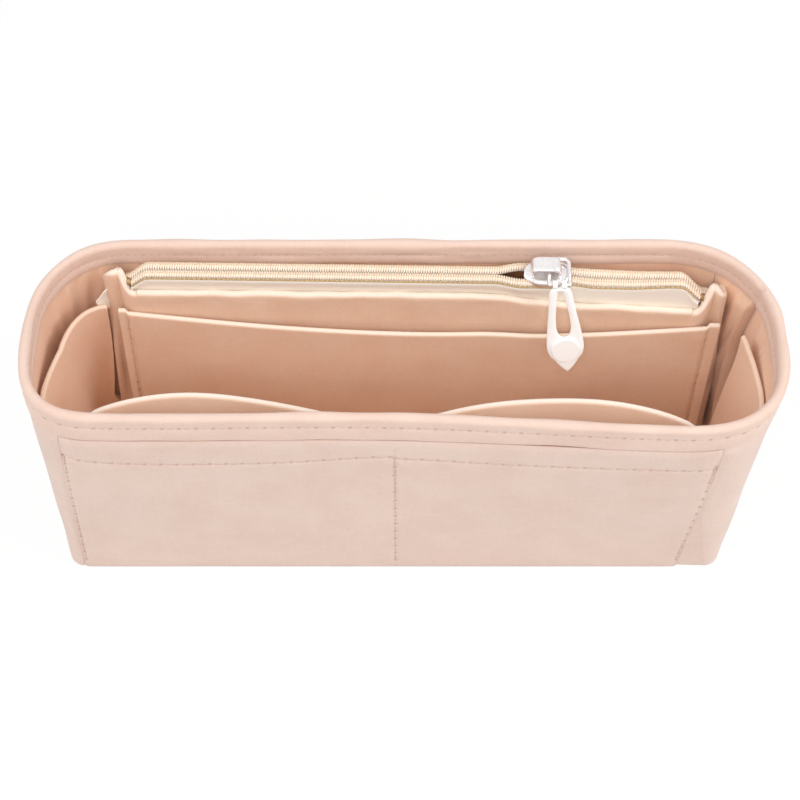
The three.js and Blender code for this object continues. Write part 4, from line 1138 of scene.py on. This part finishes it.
def gussets():
    clear = WALL_FELT / 2 + SEAT
    x, y = POUCH_LEFT, float(pouch_front(np.array(POUCH_LEFT))[0])
    low_edge, high_edge = FLOOR_TOP, ZIP_HEIGHT

    def left(rise):
        height = mix(low_edge, high_edge, rise)
        end = inward(around_at_x(POUCH_LEFT - 10, height, -1), height, WALL_FELT + clear)
        bend = mix(y + 2.8, y + 5.3, rise)
        return [(x + 2.2, y + 1.3, 85.5), (x - 0.4, y + 1.3, 85.5), (x - 3.1, bend, 91.9), (x - 3.8, bend + 0.9, 91.7),
                (x - 4.7, bend - 0.2, 91.7), (x - mix(13.6, 7.0, rise), mix(y + 2.0, y + 5.0, rise), 91.6),
                (end[0], end[1] - 0.4, 85.0)]

    # Painted shade: dark in the gusset's fold and in a line beside the slip pocket.
    def left_fold_shade(across, height):
        shade_beside_slip_pocket = hump(across, x - 12.0 + 0.084 * height, 0.7) * (1 - smooth(58, 74, height))
        return np.clip(0.9 * hump(across, x - 3.8, 0.5) + shade_beside_slip_pocket, 0, 1)

    folded_strip("left_gusset_felt", "pouch_left_gusset", left, low_edge, PANEL_FELT, FELT_POUCH, "felt_inside",
                 ["pouch_front_felt", "back_wall_felt"], left_fold_shade)
    x2, y2 = POUCH_RIGHT, float(pouch_front(np.array(POUCH_RIGHT))[0])

    def right(rise):
        height = mix(low_edge, high_edge, rise)
        wall_x = POUCH_RIGHT + mix(5, 9.8, height / SHELL_HEIGHT)
        end = inward(around_at_x(wall_x, height, -1), height, WALL_FELT + clear)
        bend = mix(y2 + 2.6, y2 + 5.6, rise)
        fold_x = x2 + mix(12.6, 7.8, rise) + 1.2 * float(hump(rise, 0.4, 0.25))
        return [(x2 - 2.2, y2 + 1.3, 80.9), (x2 + 0.5, y2 + 1.3, 81.2), (x2 + 4.0, bend, 89.0),
                (x2 + 4.8, bend + 0.8, 88.8), (x2 + 5.6, bend - 0.4, 88.4),
                (fold_x, mix(y2 + 1.6, y2 + 3.6, rise), 87.0), (end[0], end[1] - 0.4, 85.0)]

    # Painted shade: dark in the gusset's fold and in a line beside the slip pocket.
    def right_fold_shade(across, height):
        shade_beside_slip_pocket = hump(across, x2 + 10.0, 0.7) * smooth(30, 40, height) * (1 - smooth(51, 57, height))
        return np.clip(0.9 * hump(across, x2 + 4.8, 0.5) + shade_beside_slip_pocket, 0, 1)

    folded_strip("right_gusset_felt", "pouch_right_gusset", right, low_edge, PANEL_FELT, FELT_POUCH,
                 "felt_inside", ["pouch_front_felt", "back_wall_felt"], right_fold_shade)


# Zip
TAPE_FELT = 0.5
TAPE_PLACES = np.linspace(POUCH_LEFT + 0.5, POUCH_RIGHT - 0.5, 200)
TEETH_OUTER = 2.9
COIL_PITCH = 0.8
SLIDER_AT = 48.8
SLIDER_HALF_LENGTH = 6.75
LOW_PLATE = -1.7
PULL_HANG = 72
PULL_MIDDLE = 4.15
PULL_PIN_AHEAD = 6.4
PULL_PIN_HEIGHT = 4.1
TAPE_BESIDE_FELT = 0.35
WELD_REACH = 0.000002  # metres
SHARP_ANGLE = 35


def parting(x):
    """How far each row of the coil stands off the zip's line where the slider's nose parts them."""
    return 1.6 * smooth(32, 41, x) * (1 - smooth(50, 55.5, x))


def sag(x, across):
    """How far the zip hangs down to the right of the slider, its front row sooner than its rear row."""
    front = 1.7 * smooth(54, 66, x) * (1 - 0.5 * smooth(76, 90, x))
    rear = 0.95 * smooth(58, 86, x)
    return mix(front, rear, np.clip(0.5 + np.asarray(across, float) / 6, 0, 1))


def corner_dip(x):
    """The ends of the zip bend down into the pouch's corners."""
    return 4.6 * (1 - smooth(-88.5, -80, x)) + 7.6 * smooth(92.5, 102.5, x)


def corner_turn(x):
    """The ends of the zip turn towards the front there."""
    return 1.8 * (1 - smooth(-88, -80, x)) + 2.8 * smooth(92, 102, x) + 0.5 * sag(x, 0)


def zip_point(x, across, up):
    """A point on the zip: along it, across it from its line (front negative), and above its tapes."""
    x = np.asarray(x, float)
    off = np.sign(across) * parting(x)
    y = zip_line(x) + across + off - corner_turn(x) * (0.7 if np.max(across) > 0 else 0.45)
    return points_at(x, y, ZIP_HEIGHT + up - corner_dip(x) - sag(x, across))


def zip_tape(name, node, sign, sewn_y, sewn_top):
    x = TAPE_PLACES
    behind_panel = pouch_front(x)[0] + PANEL_FELT
    spread = 0.85 * smooth(90, 98, x) - 0.5 * (1 - smooth(-85, -78, x))

    def on_zip(across):
        """The tape's flat part, with its ends drawn out as far as the folded gussets are behind the panel."""
        drawn = spread * np.clip(zip_line(x) + sign * across - behind_panel, 0, 5)
        return zip_point(x + drawn, sign * across, 0)[:, 1:].T

    (bend_y, bend_z), (flat_y, flat_z), (inner_y, inner_z) = (on_zip(a) for a in (TEETH_OUTER + 0.15, 2.05, 0.85))
    knee = bend_y + sign * 0.25
    sewn_top = np.minimum(sewn_top, bend_z - 1.5)
    corners = [
        (sewn_y, sewn_top - 5), (sewn_y, sewn_top - 2), (sewn_y, sewn_top + 0.6),
        (knee, bend_z - 1.2), (knee - sign * 0.1, bend_z - 0.1), (flat_y, flat_z), (inner_y, inner_z),
    ]
    path = [np.broadcast_arrays(y, z) for y, z in corners]
    columns = []
    for i, place in enumerate(x):
        line = rounded_path([(y[i], z[i]) for y, z in path], 2)
        columns.append(np.column_stack([np.full(len(line), place), line]))
    middle = np.array(columns)
    middle[..., 0] += spread[:, None] * np.clip(middle[..., 1] - behind_panel[:, None], 0, 5)
    along = np.gradient(middle, axis=1)
    along /= np.linalg.norm(along, axis=-1, keepdims=True)
    out = np.stack([0 * along[..., 0], sign * along[..., 2], -sign * along[..., 1]], axis=-1)
    half = out * TAPE_FELT / 2
    felt_sheet(name, middle + half, middle - half, ZIP_TAPE, "zip_tape", "folded", [node],
               ["pouch_front_felt" if sign < 0 else "pouch_back_felt"], back_material=ZIP_TAPE_SHADED_UNDERSIDE)


def zip_tapes():
    x = TAPE_PLACES
    face, top = pouch_front(x)
    zip_tape("zip_tape_front_woven", "zip_tape_front", -1, face + PANEL_FELT + TAPE_BESIDE_FELT, top)
    zip_tape("zip_tape_rear_woven", "zip_tape_rear", 1, zip_line(x) + POUCH_BACK_STAND - TAPE_BESIDE_FELT,
             0 * x + POUCH_BACK_TOP)


def coil_row(sign):
    """One row of the coil: each turn goes out over the tape and comes back with a thicker head."""
    more = round(COIL_REAR_MORE / COIL_PITCH) if sign > 0 else 0
    first = COIL_LEFT - more * COIL_PITCH
    count = round((COIL_RIGHT - COIL_LEFT) / COIL_PITCH) + 2 * more
    sides = 8
    path = [  # across from the zip's line, above the tape, radius, lean along the zip
        (2.75, 0.30, 0.18, 0.3), (2.78, 0.62, 0.36, 0.28), (2.5, 0.95, 0.42, 0.24), (1.9, 1.06, 0.43, 0.18),
        (1.2, 1.08, 0.42, 0.1), (0.85, 1.02, 0.37, 0.03), (0.52, 0.86, 0.32, 0.0), (0.24, 0.58, 0.24, 0.0),
        (0.04, 0.25, 0.15, 0.0),
    ]
    shift = 0.0 if sign > 0 else 0.5
    points, faces = [], []
    for i in range(count):
        x = first + (i + 0.25 + shift) * COIL_PITCH
        spine = []
        for across, up, radius, lean in path:
            spine.append((zip_point(x + lean * sign, sign * across, up + TAPE_FELT / 2), radius))
        start = len(points)
        for k, (centre, radius) in enumerate(spine):
            after = spine[min(k + 1, len(spine) - 1)][0]
            before = spine[max(k - 1, 0)][0]
            along = (after - before) / np.linalg.norm(after - before)
            side = np.array([1.0, 0, 0]) - along * along[0]
            side /= np.linalg.norm(side)
            out = np.cross(along, side)
            points += circle(centre, radius, side, out, sides)
        faces += tube_faces(len(spine), sides, start)
    name = "rear" if sign > 0 else "front"
    points = np.array(points)
    row = make_piece(f"zip_coil_{name}", points, faces, ZIP_COIL, slot="zip_teeth")
    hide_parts(f"zip_teeth_{name}")


def zip_threads():
    """Threads that hold the coil down, and the thicker cord along each coil's outer edge."""
    for sign, name in ((1, "rear"), (-1, "front")):
        more = COIL_REAR_MORE if sign > 0 else 0
        xs = np.arange(COIL_LEFT - more, COIL_RIGHT + more, 2 * COIL_PITCH)
        for across, radius, label, material, up in (
            (1.75, 0.15, "holding_thread", THREAD_ON_COIL, 1.8), (3.3, 0.28, "edge_cord", ZIP_EDGE_CORD, 0.42),
        ):
            needles = zip_point(xs, sign * across, up)
            outs = np.tile([0.0, 0.0, 1.0], (len(xs), 1))
            thread_row(f"zip_{label}_{name}", needles, outs, material, slot="zip_tape", radius=radius,
                       rise=0.05, sink=0.2, gap=0.02)


def tape_tail():
    """The end of the tape, out at the left gusset."""
    x, y = POUCH_LEFT - 8.1 - 1.25, float(pouch_front(np.array(POUCH_LEFT))[0]) + 3.2
    corners = [(x + 0.6, y + 1.4), (x - 0.9, y + 0.2), (x - 2.7, y - 0.9)]
    low, high = ZIP_HEIGHT - 18.6, ZIP_HEIGHT - 8.6
    path = rounded_path(corners, 2)
    middle = []
    for share, (across, depth) in zip(np.linspace(0, 1, len(path)) ** 1.6, path):
        column = np.linspace(mix(low, low + 4.4, share), mix(high, low + 6.4, share), 14)
        middle.append([(across + 0.3 * math.sin(z * 0.7), depth, z) for z in column])
    points, faces, marks = sheet_body(*upright_faces(np.array(middle), TAPE_FELT))
    tail = make_piece("zip_tape_tail_woven", points, faces, ZIP_TAPE, slot="zip_tape",
                      marks=marks)
    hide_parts("zip_tape_tail")


def keep_cad(node, material, bevel, segments=3):
    """A CAD node that is shown as it is, with its edges eased and the part's own finish."""
    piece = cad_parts[node]
    piece.data.materials.clear()
    piece.data.materials.append(material)
    weld = piece.modifiers.new("weld", "WELD")
    weld.merge_threshold = WELD_REACH
    ease = piece.modifiers.new("eased edges", "BEVEL")
    ease.width = bevel * MM
    ease.segments = segments
    ease.limit_method = "ANGLE"
    ease.angle_limit = math.radians(SHARP_ANGLE)
    ease.use_clamp_overlap = True
    ease.harden_normals = False
    flat = piece.modifiers.new("even shading", "WEIGHTED_NORMAL")
    flat.keep_sharp = False


def in_slider(points):
    """From the slider's own frame, x along the zip with the nose at the left, to its place on the zip."""
    lean = -math.atan(ZIP_LEAN)
    x, y, z = np.moveaxis(np.asarray(points, float), -1, 0)
    turned = [x * math.cos(lean) - y * math.sin(lean), x * math.sin(lean) + y * math.cos(lean), z]
    return np.stack(turned, axis=-1) + [SLIDER_AT, zip_line(SLIDER_AT), ZIP_HEIGHT]


def slider_half_width(x):
    nose = np.sqrt(np.clip(1 - (np.maximum(-x - 1, 0) / 6.3) ** 2, 0, 1))
    tail = np.sqrt(np.clip(1 - (np.maximum(x - 3, 0) / 5.2) ** 2, 0, 1))
    return 5.2 * nose * tail


def zip_slider():
    """A cast slider: a top plate with its sides turned down, a low plate, the neck and the bridge."""
    x = SLIDER_HALF_LENGTH * np.sin(np.linspace(-PI / 2, PI / 2, 40))
    wide = slider_half_width(x)[:, None] - 0.5
    skirt = mix(0.9, 2.2, smooth(3.4, 6.2, np.abs(x)))[:, None]
    turn = np.linspace(0, PI / 2, 7)[None, 1:]
    flat = np.linspace(0, 1, 9)[None, :]
    half_y = np.hstack([flat * (wide - 0.9), wide - 0.9 + 0.9 * np.sin(turn), wide])
    half_z = np.hstack([2.75 - 0.2 * flat ** 2 + 0 * wide, 1.65 + 0.9 * np.cos(turn) + 0 * wide, skirt])
    y = np.hstack([-half_y[:, :0:-1], half_y])
    z = np.hstack([half_z[:, :0:-1], half_z])
    top = points_at(x[:, None], y, z)
    low_wide = (slider_half_width(x) * 0.5 - 0.4)[:, None]
    share = np.linspace(-1, 1, 9)[None, :]
    low = points_at(x[:, None] * 0.93, low_wide * share, LOW_PLATE)
    neck = points_at(np.linspace(-4.6, -0.4, 8)[:, None], 0.0, np.linspace(-1.5, 2.4, 6)[None, :])
    t = np.linspace(0.04, PI - 0.04, 40)
    arch_x = -4.5 * np.sign(np.cos(t)) * np.abs(np.cos(t)) ** 0.45
    arch_z = 2.7 + 3.75 * np.sin(t) ** 0.5
    half = mix(1.5, 2.35, smooth(3.6, 5.4, arch_z))[:, None]
    share = np.linspace(-1, 1, 15)[None, :]
    crown = 0.4 * (1 - np.abs(share) ** 2.6) * smooth(4.6, 6.3, arch_z)[:, None]
    bridge = points_at(arch_x[:, None], half * share, arch_z[:, None] + crown)
    bodies = []
    for middle, thickness in ((top, 0.9), (low, 1.0), (neck, 0.4), (bridge, 1.1)):
        body_points, body_faces, _ = sheet_body(*skin(in_slider(middle), thickness))
        bodies.append((body_points, body_faces))
    slider = make_piece("zip_slider_cast", *joined(bodies), SLIDER_METAL, body="slider", slot="metal")
    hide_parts("zip_slider")


def in_pull(points):
    """From the pendant's own frame, lying flat with its length along -y, to where it hangs."""
    hang = math.radians(PULL_HANG)
    x, y, z = np.moveaxis(np.asarray(points, float), -1, 0)
    y, z = y * math.cos(hang) - z * math.sin(hang), y * math.sin(hang) + z * math.cos(hang)
    return in_slider(np.stack([x, y - PULL_PIN_AHEAD, z + PULL_PIN_HEIGHT], axis=-1))


# Half of the pendant's outline and of its opening, matched point by point: across, along
PULL_OUTLINE = [(0, 1.1), (2.4, 1.1), (3.7, 2.4), (4.3, 9), (5.3, 16), (6.0, 21.5), (6.2, 25.6), (5.3, 28.5),
                (4.1, 29.8), (2.2, 33.0), (0, 35.3)]
PULL_OPENING = [(0, 2.4), (0.5, 2.4), (0.9, 3.2), (1.6, 8), (2.25, 13), (2.4, 16.6), (2.2, 18.6), (1.6, 20.1),
                (1.0, 20.7), (0.4, 20.9), (0, 20.9)]


def pull_pendant():
    """A cast drop with an opening, hung on the eye's two pins by short sleeves."""
    lean = math.radians(8)

    def loop(half_outline):
        right = rounded_path(half_outline, 3)
        both = np.vstack([right, right[-2:0:-1] * [-1, 1]])
        x = both[:, 0] * math.cos(lean) + both[:, 1] * math.sin(lean)
        y = both[:, 0] * math.sin(lean) - both[:, 1] * math.cos(lean)
        return np.column_stack([x + PULL_MIDDLE, y, 0 * x])

    outer, inner = loop(PULL_OUTLINE), loop(PULL_OPENING)
    square = mix(2.3, 6, smooth(3.6, 9, np.linalg.norm(outer - inner, axis=1)))
    bodies = [ring_body(outer, inner, (0, 0, 1), 0.85, square)]
    turn = np.linspace(0, 2 * PI, 28, endpoint=False)
    round_pin = np.column_stack([0 * turn, np.cos(turn), np.sin(turn)])
    for side in (-1.5, 1.5):
        middle = np.array([PULL_MIDDLE + side, 0, 0])
        bodies.append(ring_body(middle + 1.45 * round_pin, middle + 0.93 * round_pin, (1, 0, 0), 0.75, 3.5))
    bodies = [(in_pull(body_points), body_faces) for body_points, body_faces in bodies]
    pendant = make_piece("pull_pendant_cast", *joined(bodies), GLOWING_PULL_METAL, body="pull", slot="metal")
    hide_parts("pull_frame")


def zip_stop(side, row_end, outward):
    """A small brass clip over both rows, set aslant as the rear row runs on further."""
    across = np.linspace(-1.9, 1.9, 15)
    rows = []
    for a in across:
        x = row_end + outward * (0.5 + COIL_REAR_MORE / 2 * (1 + a / 1.9))
        rows.append(zip_point(np.linspace(x - 0.5, x + 0.5, 7), a, 1.4 - 0.9 * abs(a / 1.9) ** 3))
    points, faces, _ = sheet_body(*skin(np.stack(rows, axis=1), 1.0))
    stop = make_piece(f"zip_stop_{side}_clip", points, faces, BRASS, slot="metal")
    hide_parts(f"zip_stop_{side}")


def metal_parts():
    zip_slider()
    pull_pendant()
    keep_cad("pull_disc", GLOWING_PULL_METAL, 0.18, 4)
    keep_cad("pull_eye", SLIDER_METAL, 0.02, 1)
    zip_stop("left", COIL_LEFT, -1)
    zip_stop("right", COIL_RIGHT, 1)


# Floor, light and camera, in metres
FLOOR_REACH = 6
FLOOR_DROP = 0.0002
FLOOR_COLOUR = (0.74, 0.73, 0.72, 1)
FLOOR_GLOW = 1.03
FLOOR_WHITENESS = 0.9
SKY_LIGHT = 0.48
LAMP_TARGET = (0, 0, 0.05)
LAMPS = [  # name, place, width, power
    ("key", (-0.1, -0.75, 1.1), 0.7, 5.15),
    ("fill right", (0.85, -0.2, 0.8), 0.8, 5.2),
    ("fill left", (-0.85, -0.2, 0.85), 0.8, 3.2),
]
CAMERA_PLACE = (0.0016, -0.30282, 0.52030)
CAMERA_TILT = 33
SENSOR_WIDTH = 36
FOCAL_LENGTH = 74.475


def seen_directly(n):
    """1 where the camera looks, also by way of a glossy or clear surface, and 0 for other light."""
    path = n.add("ShaderNodeLightPath")
    seen = n.math("MAXIMUM", path.outputs["Is Camera Ray"], path.outputs["Is Glossy Ray"])
    return n.math("MAXIMUM", seen, path.outputs["Is Transmission Ray"])


def studio():
    scene = bpy.context.scene
    floor_mesh = bpy.data.meshes.new("floor")
    corners = [(x * FLOOR_REACH, y * FLOOR_REACH, 0) for x, y in ((-1, -1), (1, -1), (1, 1), (-1, 1))]
    floor_mesh.from_pydata(corners, [], [(0, 1, 2, 3)])
    floor = bpy.data.objects.new("floor", floor_mesh)
    floor.location.z = -FLOOR_DROP
    scene.collection.objects.link(floor)
    paint = bpy.data.materials.new("Pale floor")
    paint.use_nodes = True
    n = Nodes(paint.node_tree)
    shader = paint.node_tree.nodes["Principled BSDF"]
    shader.inputs["Base Color"].default_value = FLOOR_COLOUR
    shader.inputs["Roughness"].default_value = 0.9
    shader.inputs["Specular IOR Level"].default_value = 0.1
    white = n.add("ShaderNodeEmission")
    white.inputs["Strength"].default_value = FLOOR_GLOW
    share = n.add("ShaderNodeMixShader")
    n.put(share, 0, n.times(seen_directly(n), FLOOR_WHITENESS))
    n.tree.links.new(shader.outputs[0], share.inputs[1])
    n.tree.links.new(white.outputs[0], share.inputs[2])
    n.tree.links.new(share.outputs[0], paint.node_tree.nodes["Material Output"].inputs["Surface"])
    floor_mesh.materials.append(paint)

    world = bpy.data.worlds.new("Soft studio")
    scene.world = world
    world.use_nodes = True
    n = Nodes(world.node_tree)
    sky = world.node_tree.nodes["Background"]
    sky.inputs["Color"].default_value = (1, 1, 1, 1)
    strength = n.add("ShaderNodeMapRange")
    n.put(strength, "Value", seen_directly(n))
    n.put(strength, "To Min", SKY_LIGHT)
    n.put(strength, "To Max", 1.0)
    n.put(sky, "Strength", strength.outputs[0])

    for name, place, width, power in LAMPS:
        light = bpy.data.lights.new(name, "AREA")
        light.shape = "DISK"
        light.size = width
        light.energy = power
        holder = bpy.data.objects.new(name, light)
        holder.location = place
        way = [t - p for t, p in zip(LAMP_TARGET, place)]
        length = math.sqrt(sum(w * w for w in way))
        holder.rotation_euler = (math.acos(-way[2] / length), 0, math.atan2(way[1], way[0]) - PI / 2)
        scene.collection.objects.link(holder)

    camera = bpy.data.objects.new("camera", bpy.data.cameras.new("camera"))
    camera.data.sensor_width = SENSOR_WIDTH
    camera.data.lens = FOCAL_LENGTH
    camera.data.clip_start = 0.01
    camera.location = CAMERA_PLACE
    camera.rotation_euler = (math.radians(CAMERA_TILT), 0, 0)
    scene.collection.objects.link(camera)
    scene.camera = camera
    scene.view_settings.view_transform = "Standard"


bottom()
front_wall()
back_wall()
end_walls()
rim_band()
outer_pocket()
front_inner_pocket()
side_pockets()
pouch_panels()
slip_pocket()
gussets()
zip_tapes()
coil_row(1)
coil_row(-1)
zip_threads()
tape_tail()
metal_parts()
studio()
